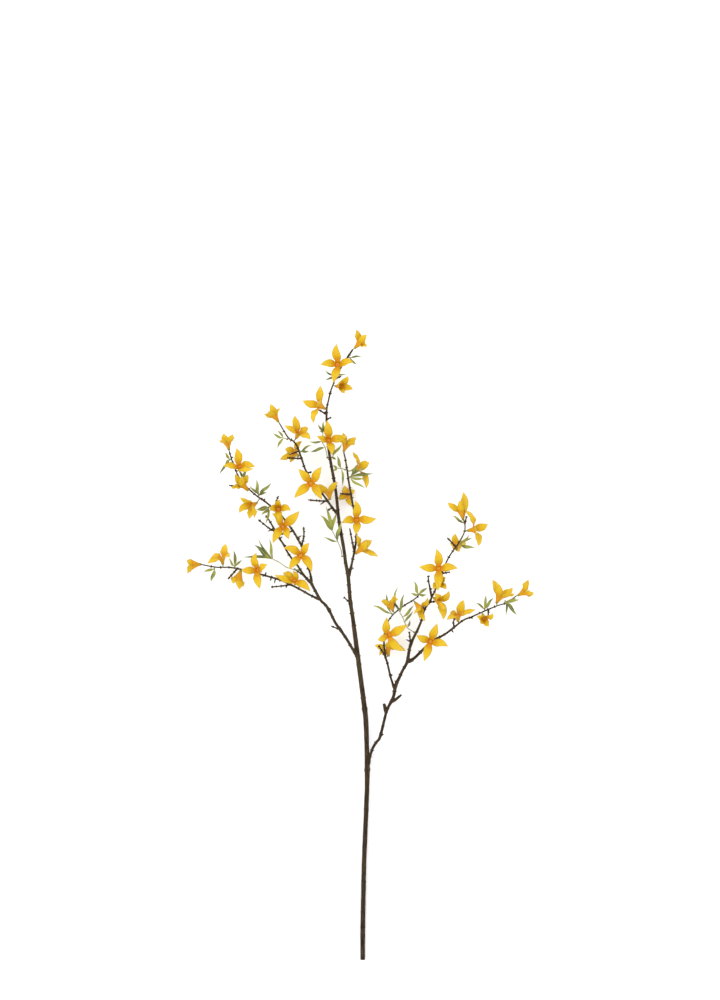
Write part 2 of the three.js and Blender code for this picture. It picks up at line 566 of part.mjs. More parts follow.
const bloomRandom = seededRandom(37);
const bloomSolids = {};
for (const [key, { base, facing, tips }] of Object.entries(BLOOMS)) {
  const [x, y, lift] = base;
  const carrier = nearestWood(x, y, allPaths).place;
  const foot = new THREE.Vector3(x, y, carrier.z + lift);
  const axis = facingVector(facing);
  const calyx = foot.clone().addScaledVector(axis, -SEAT_GAP);
  woodPieces.push(stick([carrier, calyx], [STALK_WIDTH, CALYX_WIDTH], STALK_SIDES, axis));
  bloomSolids[key.slice(1)] = bloomSolid(foot, facing, tips, bloomRandom);
}

// ---- Leaf sprays ----

// seat: which side of the twig the spray's bud sits on. stalk: the points of its stalk, if it has
// one. leaves: [tip x, tip y, rise of the tip above the bud, width], and where a leaf grows from
// the stalk below its end, the number of the stalk point.
const SPRAYS = {
  tip: {
    seat: [-16.8, 718.2],
    leaves: [
      [-0.6, 717.8, 4, 3.1],
      [-6.6, 709.2, 4, 3.1],
    ],
  },
  top: {
    seat: [-31.8, 694.8],
    leaves: [
      [-45.6, 702.6, 4, 2.6],
      [-45, 690.6, 4, 2.6],
      [-19.2, 697.2, 4, 2.2],
    ],
  },
  stem_left: {
    seat: [-40.8, 598.2],
    stalk: [[-45, 610.2], [-48.8, 617.4], [-47.4, 627.6]],
    leaves: [
      [-53.4, 638, 4, 3.1],
      [-46.7, 641.4, 4, 2.9],
      [-51.8, 629.4, 4, 2.6],
      [-63.6, 617.4, 4, 3.1, 1],
      [-63, 604.7, 4, 3.4, 0],
    ],
  },
  stem_right: {
    seat: [-37.8, 598.2],
    leaves: [
      [-25, 614.4, 4, 3.4],
      [-31.8, 595.8, 4, 2.9],
    ],
  },
  a_high: {
    seat: [-89.4, 621],
    stalk: [[-94.8, 621.6]],
    leaves: [
      [-108, 627, 4, 3.4],
      [-102, 630.6, 4, 2.9],
      [-102, 609, 4, 3.6],
    ],
  },
  a_low: {
    seat: [-72, 606],
    leaves: [
      [-61.4, 612.8, 4, 3.1],
      [-64.2, 605.4, 4, 2.9],
    ],
  },
  r_left: {
    seat: [-20.4, 583.8],
    stalk: [[-25.8, 585], [-30.6, 585.6]],
    leaves: [
      [-30.6, 600, 4, 3.8, 0],
      [-35.4, 589.2, 4, 2.9],
      [-34.8, 581.4, 4, 2.9],
      [-23.9, 564, 4, 2.9, 0],
    ],
  },
  r_right: {
    seat: [-15, 574.8],
    leaves: [
      [-3.6, 591.6, 9, 3.4],
      [2.4, 587.4, 10, 3.6],
      [13.2, 579, 4, 3.8],
      [2.5, 572.4, 4, 3.4],
      [3, 561, 4, 3.4],
    ],
  },
  long_left: {
    seat: [-22.8, 479.9],
    stalk: [[-26.2, 487.8], [-30, 497.4], [-36.4, 510]],
    leaves: [
      [-51, 529.2, 4, 5],
      [-43.8, 539.4, 4, 4.1],
      [-31.2, 531.6, 4, 4.8],
      [-25.8, 521.4, 4, 4.6, 1],
      [-46.8, 503, 4, 2.6, 1],
    ],
  },
  h_long: {
    seat: [-82.2, 460.2],
    stalk: [[-90, 466.2], [-100.2, 472.8], [-107.4, 476.4]],
    leaves: [
      [-130.2, 493.8, 4, 5.8],
      [-143.4, 478.8, 4, 3.8],
      [-112, 501, 4, 3.4],
      [-125.4, 502.2, 4, 2.9],
    ],
  },
  k_mid: {
    seat: [-124.7, 552.6],
    leaves: [
      [-127.4, 571.8, 4, 3.8],
      [-109.4, 568.2, 4, 3.8],
      [-114, 555.7, 4, 2.9],
      [-135, 564, 4, 2.9],
    ],
  },
  j_tip: {
    seat: [-114.6, 535.8],
    leaves: [
      [-127.8, 536, 4, 5.5],
      [-121.4, 529.2, 4, 3.6],
      [-116.4, 518.4, 4, 3.1],
    ],
  },
  k_tip: {
    seat: [-157.8, 595.8],
    leaves: [
      [-164.4, 604.8, 4, 3.4],
      [-164.4, 590.6, 4, 2.9],
      [-172.2, 577.1, 4, 2.9],
    ],
  },
  k_high: {
    seat: [-145.2, 571.8],
    leaves: [
      [-148.2, 583.2, -1, 2.9],
      [-138.6, 584.4, 4, 3.4],
    ],
  },
  h_low: {
    seat: [-153.6, 466.2],
    leaves: [
      [-154.6, 487.2, 4, 3.8],
      [-144.6, 475.8, 4, 2.6],
      [-160.2, 477.6, 4, 2.6],
    ],
  },
  h_tip: {
    seat: [-177.6, 465.8],
    leaves: [
      [-190.8, 461, 4, 3.4],
      [-181.8, 448.7, 4, 4.6],
    ],
  },
  right_top: {
    seat: [120.6, 520.2],
    leaves: [
      [113.4, 523.8, 4, 2.6],
      [106.2, 528.6, 4, 3.1],
    ],
  },
  right_high: {
    seat: [115.2, 495],
    leaves: [
      [131.2, 502.2, 4, 3.6],
      [134.5, 490, 4, 4.3],
      [127.1, 505.8, 4, 2.9],
    ],
  },
  c_tip: {
    seat: [66.6, 433.2],
    leaves: [
      [61, 450.6, 4, 3.8],
      [57, 435.6, 4, 3.1],
      [78, 442.8, 4, 3.6],
      [76.2, 434.4, 4, 3.6],
    ],
  },
  c_spray: {
    seat: [56.8, 391.2],
    stalk: [[53.4, 394.2], [50.4, 400.2], [47.9, 406.9], [44.4, 412.2]],
    leaves: [
      [61.2, 421.4, 4, 3.4, 2],
      [60, 414.6, 4, 2.9, 1],
      [56.4, 403.8, 4, 2.9, 0],
      [49.8, 435.6, 4, 3.6],
      [37.8, 429, -5, 2.9],
    ],
  },
  c_mid: {
    seat: [34.8, 411],
    leaves: [
      [27.4, 436.2, -5, 3.8],
      [9.4, 420.6, 4, 3.4],
      [43.4, 444.6, -2, 3.1],
    ],
  },
  d_mid: {
    seat: [146, 416],
    leaves: [
      [135, 424.2, 4, 3.1],
      [147.5, 434, 4, 3.4],
      [156.6, 430.4, 4, 3.6],
    ],
  },
  d_tip: {
    seat: [171, 425.4],
    leaves: [
      [187.8, 428, 4, 3.6],
      [184.8, 409.4, 4, 4.3],
      [171.7, 409.1, 4, 2.9],
      [184.2, 429.6, 4, 2.9],
    ],
  },
};

// A creased, pointed leaf from its root to its tip.
function leafSolid(root, tip, width, roll) {
  const along = tip.clone().sub(root);
  const length = along.length();
  along.normalize();
  const wide = new THREE.Vector3().crossVectors(UP, along).normalize().applyAxisAngle(along, roll);
  const face = new THREE.Vector3().crossVectors(along, wide);
  const vertices = [];
  const triangles = [];
  const add = (point) => vertices.push(point) - 1;
  const middleAt = (share) => root.clone().lerp(tip, share)
    .addScaledVector(face, 4 * LEAF_ARCH * length * share * (1 - share));
  const rowAt = (share, reach, crease) => [1, -1].map((side) => [-1, 0, 1].map((i) => {
    const rise = (side * LEAF_THICKNESS) / 2 + Math.abs(i) * crease;
    const point = middleAt(share).addScaledVector(wide, i * reach);
    return add(point.addScaledVector(face, rise));
  }));
  const first = add(root.clone().addScaledVector(face, LEAF_THICKNESS / 2));
  const under = add(root.clone().addScaledVector(face, -LEAF_THICKNESS / 2));
  let upper = null;
  let lower = null;
  for (const [share, fullness] of length > LONG_LEAF ? LEAF_ROWS : SHORT_LEAF_ROWS) {
    const rows = rowAt(share, (width / 2) * fullness, LEAF_CREASE * fullness);
    if (upper) {
      stripTriangles(triangles, upper, lower, rows[0], rows[1]);
    } else {
      pointTriangles(triangles, [...rows[0]].reverse(), [...rows[1]].reverse(), first, under);
    }
    [upper, lower] = rows;
  }
  const high = add(tip.clone().addScaledVector(face, LEAF_THICKNESS / 2));
  const low = add(tip.clone().addScaledVector(face, -LEAF_THICKNESS / 2));
  pointTriangles(triangles, upper, lower, high, low);
  return solid(vertices, triangles);
}

function beadAt(centre, radius) {
  return solidOf(new THREE.OctahedronGeometry(radius).translate(centre.x, centre.y, centre.z));
}

const leafRandom = seededRandom(53);
const spraySolids = {};
for (const [name, { seat, stalk = [], leaves }] of Object.entries(SPRAYS)) {
  const { place, width } = nearestWood(...seat, allPaths);
  const out = new THREE.Vector3(seat[0] - place.x, seat[1] - place.y, 0).normalize();
  out.addScaledVector(UP, 0.6).normalize();
  const bud = place.clone().addScaledVector(out, width / 2 + SEAT_GAP + BEAD_RADIUS);
  const pieces = [beadAt(bud, BEAD_RADIUS)];
  const stalkPoints = stalk.map(([x, y], i) => new THREE.Vector3(x, y, bud.z + i + 1));
  if (stalk.length > 0) {
    const line = [bud, ...stalkPoints];
    pieces.push(stick(line, line.map(() => LEAF_STALK_WIDTH), STALK_SIDES));
    pieces.push(beadAt(line[line.length - 1], LEAF_STALK_WIDTH));
  }
  for (const [x, y, rise, leafWidth, from] of leaves) {
    const joint = stalkPoints[from ?? stalk.length - 1] ?? bud;
    const tip = new THREE.Vector3(x, y, joint.z + rise);
    const root = tip.clone().sub(joint).setLength(LEAF_ROOT_DEPTH).add(joint);
    pieces.push(leafSolid(root, tip, leafWidth, (leafRandom() * 2 - 1) * LEAF_ROLL));
  }
  spraySolids[name] = joined(pieces);
}

// ---- The whole branch ----

const barkMaterial = new THREE.MeshStandardMaterial({ color: 0x4a3a2a, roughness: 0.85, metalness: 0 });
const petalMaterial = new THREE.MeshStandardMaterial({ color: 0xf7c01c, roughness: 0.6, metalness: 0 });
const leafMaterial = new THREE.MeshStandardMaterial({ color: 0x7c8c36, roughness: 0.6, metalness: 0 });

const branch = new THREE.Group();

function addPiece(name, body, material) {
  const mesh = new THREE.Mesh(geometryOf(body), material.clone());
  mesh.name = name;
  branch.add(mesh);
}

addPiece('wood', joined(woodPieces), barkMaterial);
for (const pair of FUSED) {
  addPiece(`bloom_${pair.join('_')}`, joined(pair.map((key) => bloomSolids[key])), petalMaterial);
}
for (const [key, body] of Object.entries(bloomSolids)) {
  if (!FUSED.flat().includes(key)) {
    addPiece(`bloom_${key}`, body, petalMaterial);
  }
}
for (const [name, body] of Object.entries(spraySolids)) {
  addPiece(`leaves_${name}`, body, leafMaterial);
}

export default branch;
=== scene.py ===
import math
import random

import bmesh
import bpy
from mathutils import Matrix, Quaternion, Vector, noise


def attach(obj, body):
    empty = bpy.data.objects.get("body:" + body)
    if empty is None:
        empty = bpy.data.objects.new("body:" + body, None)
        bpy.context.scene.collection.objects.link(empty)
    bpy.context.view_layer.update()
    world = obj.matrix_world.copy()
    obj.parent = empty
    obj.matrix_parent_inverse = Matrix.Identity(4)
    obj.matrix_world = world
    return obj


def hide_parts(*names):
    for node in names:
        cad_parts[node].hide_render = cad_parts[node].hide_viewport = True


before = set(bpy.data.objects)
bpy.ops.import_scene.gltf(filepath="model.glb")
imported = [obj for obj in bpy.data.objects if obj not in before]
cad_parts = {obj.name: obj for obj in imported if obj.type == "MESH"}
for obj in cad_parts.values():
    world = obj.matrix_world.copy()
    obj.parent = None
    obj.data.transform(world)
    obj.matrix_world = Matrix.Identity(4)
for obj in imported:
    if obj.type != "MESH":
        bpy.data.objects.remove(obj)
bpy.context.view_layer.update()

# ---- Stem, boughs and twigs ----
# Grown wood under thin brown bark, swollen a little wherever a bud or a side twig leaves it.
# Each branch is laid as a tube along its own middle line, with its foot sunk in its parent.
MM = 0.001
UP = Vector((0, 0, 1))
BUTT_WIDTH = 5.8
STEM_SIDES = 8
FLAT_END = 8
STEM_SLOPE = 0.028
STEM_CURVE = 0.00002
RING_STEP = 1.6
STEM_SKIN_SIDES = 18
TWIG_SKIN_SIDES = 12
SKIN_SHARE = 0.965
KNOT_SWELL = 0.22
KNOT_REACH = 2.2
CROTCH_FLARE = 0.4
CROTCH_REACH = 3.5
BARK_RELIEF = 0.055
RIDGE_TURN = 1.6
RIDGE_LENGTH = 9
RIDGE_DRIFT = 40
BUMP_DEPTH = 0.2
WELD_REACH = 0.0001

# The cut end: its face is set back a little, and the pith in its middle has dried out of a bore.
PITH_DEPTH = 3
CUT_SETBACK = 0.02
CUT_BEVEL = 0.3
CUT_PLANE = -5.98
BORE_END = -3
BORE_RADIUS = 0.8

# Rings that close a tube: (distance along it, share of its radius). The foot's are in radii.
CUT_FACE = [(PITH_DEPTH, 0), (PITH_DEPTH, 0.16), (CUT_SETBACK, 0.2), (CUT_SETBACK, 0.9)]
ROUND_FOOT = [(-0.7, 0), (-0.6, 0.5), (-0.35, 0.85)]
TWIG_END = [(0.4, 0.6), (0.5, 0)]

BARK_DARK = "#1B120C"
BARK_BROWN = "#584630"
BARK_OLIVE = "#403A20"
BARK_PORE = "#6D5B42"
CUT_WOOD = "#CDB88C"
PITH = "#8A6B45"

# Each branch: its parent, the height of its tip, and the points of its middle line seen from
# above, [x, y, width]. The stem's own height follows its lie on the table instead.
BRANCHES = {
    "main": (None, 0, [
        [0, -6, 5.8], [0, 7.8, 5.8], [0, 30.6, 6.1], [0, 33.6, 6.6], [0.1, 37.2, 6],
        [1, 85.2, 5.9], [1.1, 88.2, 6.4], [1.1, 91.8, 5.9], [1.8, 117, 5.9], [4.1, 172.2, 6],
        [4.2, 174.6, 6.5], [4.3, 178.8, 6], [5.2, 204.6, 6], [5.4, 228.6, 6.6], [4.8, 252.6, 5.9],
        [4, 276.6, 6.5], [2.2, 297, 6.3], [-6.6, 364.2, 6], [-12, 406.2, 5], [-15, 426.6, 4.7],
        [-17.6, 456.6, 4.8], [-20.4, 471, 4.3], [-22.8, 489, 4.1], [-28.8, 525, 4],
        [-32.4, 558.6, 3.7], [-39.8, 600.6, 3.6], [-42, 618.6, 2.8], [-43.2, 633, 2.5],
        [-43.2, 655.2, 2.3], [-41, 666.6, 2], [-38.6, 676.8, 2.2], [-35.8, 684.6, 1.9],
        [-30.6, 697.8, 1.8], [-24.6, 707.4, 1.8], [-19.2, 716.4, 2.8], [-12, 727.2, 2.4],
    ]),
    "a": ("main", 36, [
        [-30, 529.8, 2.6], [-36.6, 538.2, 2.6], [-48.6, 555, 2.5], [-58.2, 565.8, 2.5],
        [-66.6, 579.6, 2.4], [-70.2, 587.4, 2.3], [-73.2, 597, 2.3], [-78.6, 611.4, 2.2],
        [-82.8, 617.4, 2.1], [-89.4, 622.2, 1.9], [-99.6, 639, 1.6],
    ]),
    "r": ("main", 33, [
        [-17.6, 454.2, 3.1], [-15, 462.6, 3], [-8.6, 493.8, 2.7], [-7.8, 510.6, 2.6],
        [-9, 525, 2.5], [-16.8, 569.4, 2.3], [-18.6, 582.6, 2.2], [-21, 597, 1.9],
        [-22.7, 604.2, 1.7],
    ]),
    "r_side": ("r", 20, [
        [-10.2, 486.6, 2.2], [-12.6, 497.4, 2], [-15.6, 513, 1.6],
    ]),
    "right": ("main", 34, [
        [5.8, 228.6, 4.8], [8.4, 238.2, 3.4], [11.4, 247.8, 3.4], [16.2, 256.2, 3.5],
        [21, 263.4, 3.7], [28.2, 292.2, 3.6], [34.2, 305.4, 3.8], [37.2, 312.6, 4.1],
        [38.4, 319.8, 4.3], [40.8, 328.2, 4.8], [43.2, 333, 4.1], [48, 343.2, 3.6],
        [53.2, 352.8, 4], [55.4, 365.4, 3.8], [58.2, 376.2, 3.4], [65.8, 391.8, 3.1],
        [70.2, 402.6, 2.8], [73.8, 415.8, 2.5], [80, 424.8, 2.6], [82.8, 431.4, 2.5],
        [86.4, 438.6, 2.2], [90.6, 450.6, 2], [100.9, 474.8, 1.9], [108.1, 486.6, 1.8],
        [114.8, 495.8, 1.8], [121.7, 509.6, 1.6], [122, 520.2, 1.4],
    ]),
    "stub": ("right", 14, [
        [28.2, 292.2, 4.2], [27.2, 296.6, 3.8], [25.4, 302.6, 3.6],
    ]),
    "nub": ("right", 17, [
        [34.2, 305.4, 3.6], [40.8, 308.8, 3.2], [46.2, 313.4, 2.4],
    ]),
    "g": ("right", 28, [
        [82.2, 432, 2.2], [80.4, 442.2, 2], [78.8, 450, 1.9], [78.4, 456.6, 1.8],
    ]),
    "c": ("right", 28, [
        [38.4, 319.8, 2.9], [33.6, 334.2, 2.8], [29.4, 352.2, 2.6], [27, 360, 2.8],
        [25.4, 377.4, 2.2], [26.4, 390.6, 2], [28.8, 399, 1.8], [36.6, 410.4, 1.6],
        [51, 421.8, 1.8], [58.2, 426, 1.7], [66.4, 432, 1.6],
    ]),
    "d": ("right", 30, [
        [53.8, 352.8, 3.4], [62.3, 358.2, 3.6], [81, 376.2, 3], [100.2, 387.6, 2.6],
        [119.4, 402.6, 2.2], [130, 407, 1.9], [137.4, 410.6, 1.9], [160.1, 420.4, 1.7],
        [170.8, 423.8, 1.6], [184.2, 432.8, 1.4],
    ]),
    "left": ("main", 21, [
        [-6, 360.6, 4.8], [-12.6, 369, 3.6], [-17.4, 377.4, 3.6], [-27, 391.8, 3.7],
        [-33, 400.2, 3.5], [-40.2, 414.6, 3.7], [-45, 421.8, 3.6], [-51, 427.8, 3.6],
        [-61.8, 447.6, 3.6],
    ]),
    "h": ("left", 24, [
        [-51, 427.8, 3], [-61.8, 432.6, 2.6], [-75, 440, 2.5], [-87, 446, 2.5], [-100.8, 452, 2.3],
        [-132.6, 460.8, 2.2], [-156.6, 466.2, 1.8], [-175.8, 466.8, 1.7], [-193.2, 470, 1.6],
    ]),
    "j": ("left", 32, [
        [-61.8, 447.6, 2.9], [-70.2, 456.6, 2.6], [-78, 468.6, 2.5], [-85.2, 477.4, 2.5],
        [-91.2, 486.6, 2.4], [-94, 492.6, 2.4], [-101.4, 504.1, 2.3], [-111, 521.4, 2],
        [-116, 528.6, 1.7],
    ]),
    "k": ("left", 36, [
        [-61.6, 447.7, 2.9], [-63, 459, 2.6], [-69.6, 478.2, 2.5], [-72.6, 490.2, 2.4],
        [-77.4, 499.8, 2.4], [-83.8, 510.6, 2.4], [-95.4, 526.2, 2.3], [-103.8, 534.6, 2.3],
        [-117.5, 546, 2.2], [-124.7, 550.7, 2.1], [-134.4, 558.6, 2], [-143.4, 568.2, 1.9],
        [-149.2, 576.6, 1.9], [-155.5, 592.2, 1.8], [-159.5, 605.4, 1.6],
    ]),
}

# Cut spurs and short dead twigs, each from the bark outwards.
SPURS = [
    [[4.2, 223.2], [2.2, 223.8]], [[-14.4, 423], [-22.8, 430.8]], [[-43.4, 643.8], [-37.8, 646.2]],
    [[-43.2, 649.8], [-48.6, 652.8], [-54.6, 656.4]], [[-30.6, 691.2], [-25.8, 695.4]],
    [[-36.6, 538.2], [-41.4, 535.2]], [[-41.9, 546], [-53.4, 546.4], [-65.4, 547.4]],
    [[-66.6, 579.6], [-61.2, 580.8]], [[-73.2, 597], [-82.2, 597.2], [-90, 597.6]],
    [[-13.8, 553.8], [-27, 555]], [[35.4, 304.2], [46.2, 313.8]], [[57, 373.8], [55.7, 389.4]],
    [[73.6, 415.8], [71.4, 422.4]], [[80, 424.8], [88.8, 426]],
    [[94.8, 458.4], [99, 460.2], [104.4, 460.8]], [[111, 491.4], [101.3, 502]],
    [[121.8, 519], [124.1, 527.8]], [[27, 360], [22.8, 366.6], [19.2, 372.6]],
    [[43.8, 415.8], [39.6, 420.6]], [[109.8, 394.8], [108.6, 401.4], [111, 406.2]],
    [[150.6, 416.2], [150.6, 408.6], [155, 406.2]], [[-27, 391.8], [-37.8, 396]],
    [[-87, 446], [-91.8, 444.8], [-110, 442.8]], [[-150.6, 464.6], [-158.4, 456], [-161, 453]],
    [[-70.2, 456.6], [-82.4, 464.8]], [[-104.3, 509.2], [-112, 513.4], [-124.7, 523.6]],
    [[-73.8, 492], [-70.6, 503.4], [-70.8, 514.8]], [[-83.8, 510.6], [-93, 507], [-100.8, 506.4]],
    [[-103.8, 534.6], [-104.3, 542.6], [-101, 551.9]],
    [[-141, 565.8], [-151.3, 564.1], [-159.8, 564.8]],
]

# Buds along the twigs, each given by its tip.
BUD_TIPS = [
    [-57.2, 552.6], [-51.8, 541.2], [-88.8, 601.2], [-10.4, 465.2], [-10.2, 503.4], [25.8, 265.2],
    [51.6, 380.2], [83.8, 441], [76.2, 450], [36.4, 337.6], [66.6, 367.2], [91.2, 385.2],
    [109, 388.2], [131.4, 404.6], [-111, 449.9], [-115.7, 461.4], [-91.4, 493.3], [-114.1, 509.4],
    [-67.9, 464.4], [-73.1, 504.8], [-75, 501.4], [-116.8, 549.2], [-106.2, 447], [-92.5, 441],
    [-154.2, 598.8], [-36.8, 674.6], [-1.8, 295.8], [-38, 417.6], [-45.6, 652.6], [-96, 503.4],
]


def linear(hex_colour):
    """An sRGB hex colour as the linear colour that a shader takes."""
    channels = [int(hex_colour[i:i + 2], 16) / 255 for i in (1, 3, 5)]
    straight = [c / 12.92 if c <= 0.04045 else ((c + 0.055) / 1.055) ** 2.4 for c in channels]
    return (*straight, 1)


def per_metre(size):
    """A pattern's scale: how often a size in millimetres fits a metre."""
    return 1 / (size * MM)


def socket(sockets, name):
    """The socket with that identifier, or else with that name."""
    exact = [one for one in sockets if one.identifier == name]
    return exact[0] if exact else sockets[name]


def add_node(material, kind, settings=None, links=None):
    """Adds one shader node. Small letters set its own choices and capitals its sockets, and
    Stops are the marks of a colour ramp, [(place, hex colour)]."""
    node = material.node_tree.nodes.new("ShaderNode" + kind)
    values = dict(settings or {})
    stops = values.pop("Stops", [])
    if stops:
        marks = node.color_ramp.elements
        for mark, (place, colour) in zip(marks, (stops[0], stops[-1])):
            mark.position, mark.color = place, linear(colour)
        for place, colour in stops[1:-1]:
            marks.new(place).color = linear(colour)
    for name, value in values.items():
        if name[0].islower():
            setattr(node, name, value)
        else:
            socket(node.inputs, name).default_value = value
    for name, source in (links or {}).items():
        material.node_tree.links.new(source, socket(node.inputs, name))
    return node


def new_material(name):
    """A material with an empty node tree."""
    material = bpy.data.materials.new(name)
    material.use_nodes = True
    material.node_tree.nodes.clear()
    return material


def close_material(material, settings, links=None):
    """Adds the surface with its settings and links, and leads it to the material's output."""
    surface = add_node(material, "BsdfPrincipled", settings, links)
    add_node(material, "OutputMaterial", links={"Surface": surface.outputs["BSDF"]})


def lay_tones(material, tone, layers):
    """Mixes colours over a tone in turn, and returns it and their shares. A layer is (pattern,
    its value where the colour begins, its value where it is full, full share, colour)."""
    shares = []
    for pattern, begins, full, most, colour in layers:
        share = add_node(material, "MapRange",
                         {"From Min": begins, "From Max": full, "To Max": most},
                         {"Value": pattern}).outputs["Result"]
        tone = add_node(material, "Mix", {"data_type": "RGBA", "B_Color": linear(colour)},
                        {"Factor_Float": share, "A_Color": tone}).outputs[2]
        shares.append(share)
    return tone, shares


def mottle(material, size, detail, stops):
    """A tone mottled between colours, in spots of about that size in millimetres."""
    spot = add_node(material, "TexCoord").outputs["Object"]
    spots = add_node(material, "TexNoise", {"Scale": per_metre(size), "Detail": detail},
                     {"Vector": spot}).outputs["Fac"]
    return add_node(material, "ValToRGB", {"Stops": stops}, {"Fac": spots}).outputs["Color"]


def mottled_material(name, size, detail, stops, settings):
    """A material that has a mottled tone and nothing else."""
    material = new_material(name)
    close_material(material, settings, {"Base Color": mottle(material, size, detail, stops)})
    return material


def new_sheet_mesh():
    """An empty bmesh with a UV map."""
    bm = bmesh.new()
    bm.loops.layers.uv.new("UVMap")
    return bm


def lay_sheet(bm, across, along, place, size=(1, 1), finish=0):
    """A grid of faces whose point (i, j) goes where place(i, j) says. Its UV map is size large."""
    made = bmesh.ops.create_grid(
        bm, x_segments=across, y_segments=along, size=0.5, calc_uvs=True)["verts"]
    uv = bm.loops.layers.uv.active
    for face in {face for vert in made for face in vert.link_faces}:
        face.smooth = True
        face.material_index = finish
        for loop in face.loops:
            loop[uv].uv = (loop[uv].uv.x * size[0], loop[uv].uv.y * size[1])
    for vert in made:
        i = round((vert.co.x + 0.5) * across)
        j = round((vert.co.y + 0.5) * along)
        vert.co = place(i, j)


def spoke_frame(along):
    """Two directions square to along and to each other, the first one level."""
    reference = Vector((0, 1, 0)) if abs(along.z) > 0.95 else UP
    side = along.cross(reference).normalized()
    return side, side.cross(along)


def rings_along(start, along, radius, shape, unit=1):
    """Rings round a straight line. shape is [(distance from start in units, share of radius)]."""
    return [[start + along * unit * reach, along, radius * full] for reach, full in shape]


def line_rings(line):
    """A ring [middle, direction, radius] at each (middle, width) of a line."""
    middles = [middle for middle, _ in line]
    last = len(line) - 1
    return [[middle, (middles[min(j + 1, last)] - middles[max(j - 1, 0)]).normalized(), width / 2]
            for j, (middle, width) in enumerate(line)]


def lay_tube(bm, rings, sides, relief=None):
    """A closed skin through rings, each [middle, direction, radius]. relief swells a radius."""
    frames = [spoke_frame(ring[1]) for ring in rings]
    run = sum((b[0] - a[0]).length for a, b in zip(rings, rings[1:]))
    girth = 2 * math.pi * max(ring[2] for ring in rings)

    def place(i, j):
        middle, _, radius = rings[j]
        angle = 2 * math.pi * (i % sides) / sides - math.pi / 2
        if relief:
            radius *= relief(angle, j)
        side, top = frames[j]
        point = middle + (side * math.cos(angle) + top * math.sin(angle)) * radius
        point.z = max(point.z, 0)
        return point

    lay_sheet(bm, sides, len(rings) - 1, place, (girth * MM, run * MM))


def lay_bud(bm, foot, along, length, width, shape, sides):
    """A closed bud. shape is [(share of its length, share of its width)]."""
    lay_tube(bm, rings_along(foot, along, width / 2, shape, length), sides)


def place_object(name, data):
    """A new object in the scene."""
    placed = bpy.data.objects.new(name, data)
    bpy.context.scene.collection.objects.link(placed)
    return placed


def finish_piece(bm, name, materials, nodes=()):
    """Scales the work to metres, closes its seams and hands it over as a piece of the branch."""
    bmesh.ops.scale(bm, vec=(MM, MM, MM), verts=bm.verts)
    bmesh.ops.remove_doubles(bm, verts=bm.verts, dist=WELD_REACH * MM)
    bmesh.ops.recalc_face_normals(bm, faces=bm.faces)
    mesh = bpy.data.meshes.new(name)
    bm.to_mesh(mesh)
    bm.free()
    for material in materials:
        mesh.materials.append(material)
    piece = place_object(name, mesh)
    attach(piece, "root")
    if nodes:
        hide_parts(*nodes)
    return piece


def seeded_draws(seed):
    """Even draws from 0 to 1, the same ones on every run."""
    state = seed
    while True:
        state = state * 16807 % 2147483647
        yield state / 2147483647


def stem_height(y):
    """Height of the main stem's middle line: flat on the table, then rising towards the tip."""
    run = max(y - FLAT_END, 0)
    lying = BUTT_WIDTH / 2 * math.cos(math.pi / STEM_SIDES)
    return lying + STEM_SLOPE * run + STEM_CURVE * run * run


def nearest_wood(x, y, lines):
    """The nearest place on any middle line, seen from above: (place, width, distance)."""
    best = (None, 0, math.inf)
    for points, widths in lines:
        for i in range(len(points) - 1):
            run = points[i + 1] - points[i]
            flat = run.x * run.x + run.y * run.y
            share = ((x - points[i].x) * run.x + (y - points[i].y) * run.y) / flat
            step = min(max(share, 0), 1)
            spot = points[i] + run * step
            distance = math.hypot(spot.x - x, spot.y - y)
            if distance < best[2]:
                best = (spot, widths[i] + (widths[i + 1] - widths[i]) * step, distance)
    return best


wood_lines = {}
for name, (parent, tip_height, flat_points) in BRANCHES.items():
    runs = [0]
    for before, after in zip(flat_points, flat_points[1:]):
        runs.append(runs[-1] + math.hypot(after[0] - before[0], after[1] - before[1]))
    start = nearest_wood(*flat_points[0][:2], [wood_lines[parent]])[0].z if parent else 0
    points = []
    for (x, y, _), run in zip(flat_points, runs):
        climb = start + (tip_height - start) * run / runs[-1]
        points.append(Vector((x, y, climb if parent else stem_height(y))))
    wood_lines[name] = (points, [width for _, _, width in flat_points])
all_lines = list(wood_lines.values())


def smooth_line(points, widths, step):
    """The middle line and its widths, rounded through the points and set out every step."""
    line = []
    for i in range(len(points) - 1):
        before = points[max(i - 1, 0)]
        after = points[min(i + 2, len(points) - 1)]
        a, b = points[i], points[i + 1]
        leave, arrive = (b - before) / 2, (after - a) / 2
        count = max(1, round((b - a).length / step))
        for k in range(count):
            t = k / count
            middle = (a * (2 * t ** 3 - 3 * t ** 2 + 1) + leave * (t ** 3 - 2 * t ** 2 + t)
                      + b * (3 * t ** 2 - 2 * t ** 3) + arrive * (t ** 3 - t ** 2))
            line.append((middle, widths[i] + (widths[i + 1] - widths[i]) * t))
    line.append((points[-1], widths[-1]))
    return line


knots = [nearest_wood(*spur[0], all_lines)[0] for spur in SPURS]
knots += [nearest_wood(*tip, all_lines)[0] for tip in BUD_TIPS]


def bark_relief(line, lead):
    """How far the bark swells out at an angle and a ring: ridges, and a collar at each knot."""
    swells = []
    for middle, _ in line:
        close = min((middle - knot).length for knot in knots)
        swells.append(1 + KNOT_SWELL * math.exp(-(close / KNOT_REACH) ** 2))

    def relief(angle, j):
        ring = min(max(j - lead, 0), len(line) - 1)
        middle = line[ring][0]
        spot = Vector((math.cos(angle) * RIDGE_TURN, math.sin(angle) * RIDGE_TURN,
                       middle.length / RIDGE_LENGTH))
        ridge = noise.noise(spot + Vector((middle.x, 0, 0)) / RIDGE_DRIFT)
        return swells[ring] * (1 + BARK_RELIEF * ridge)

    return relief


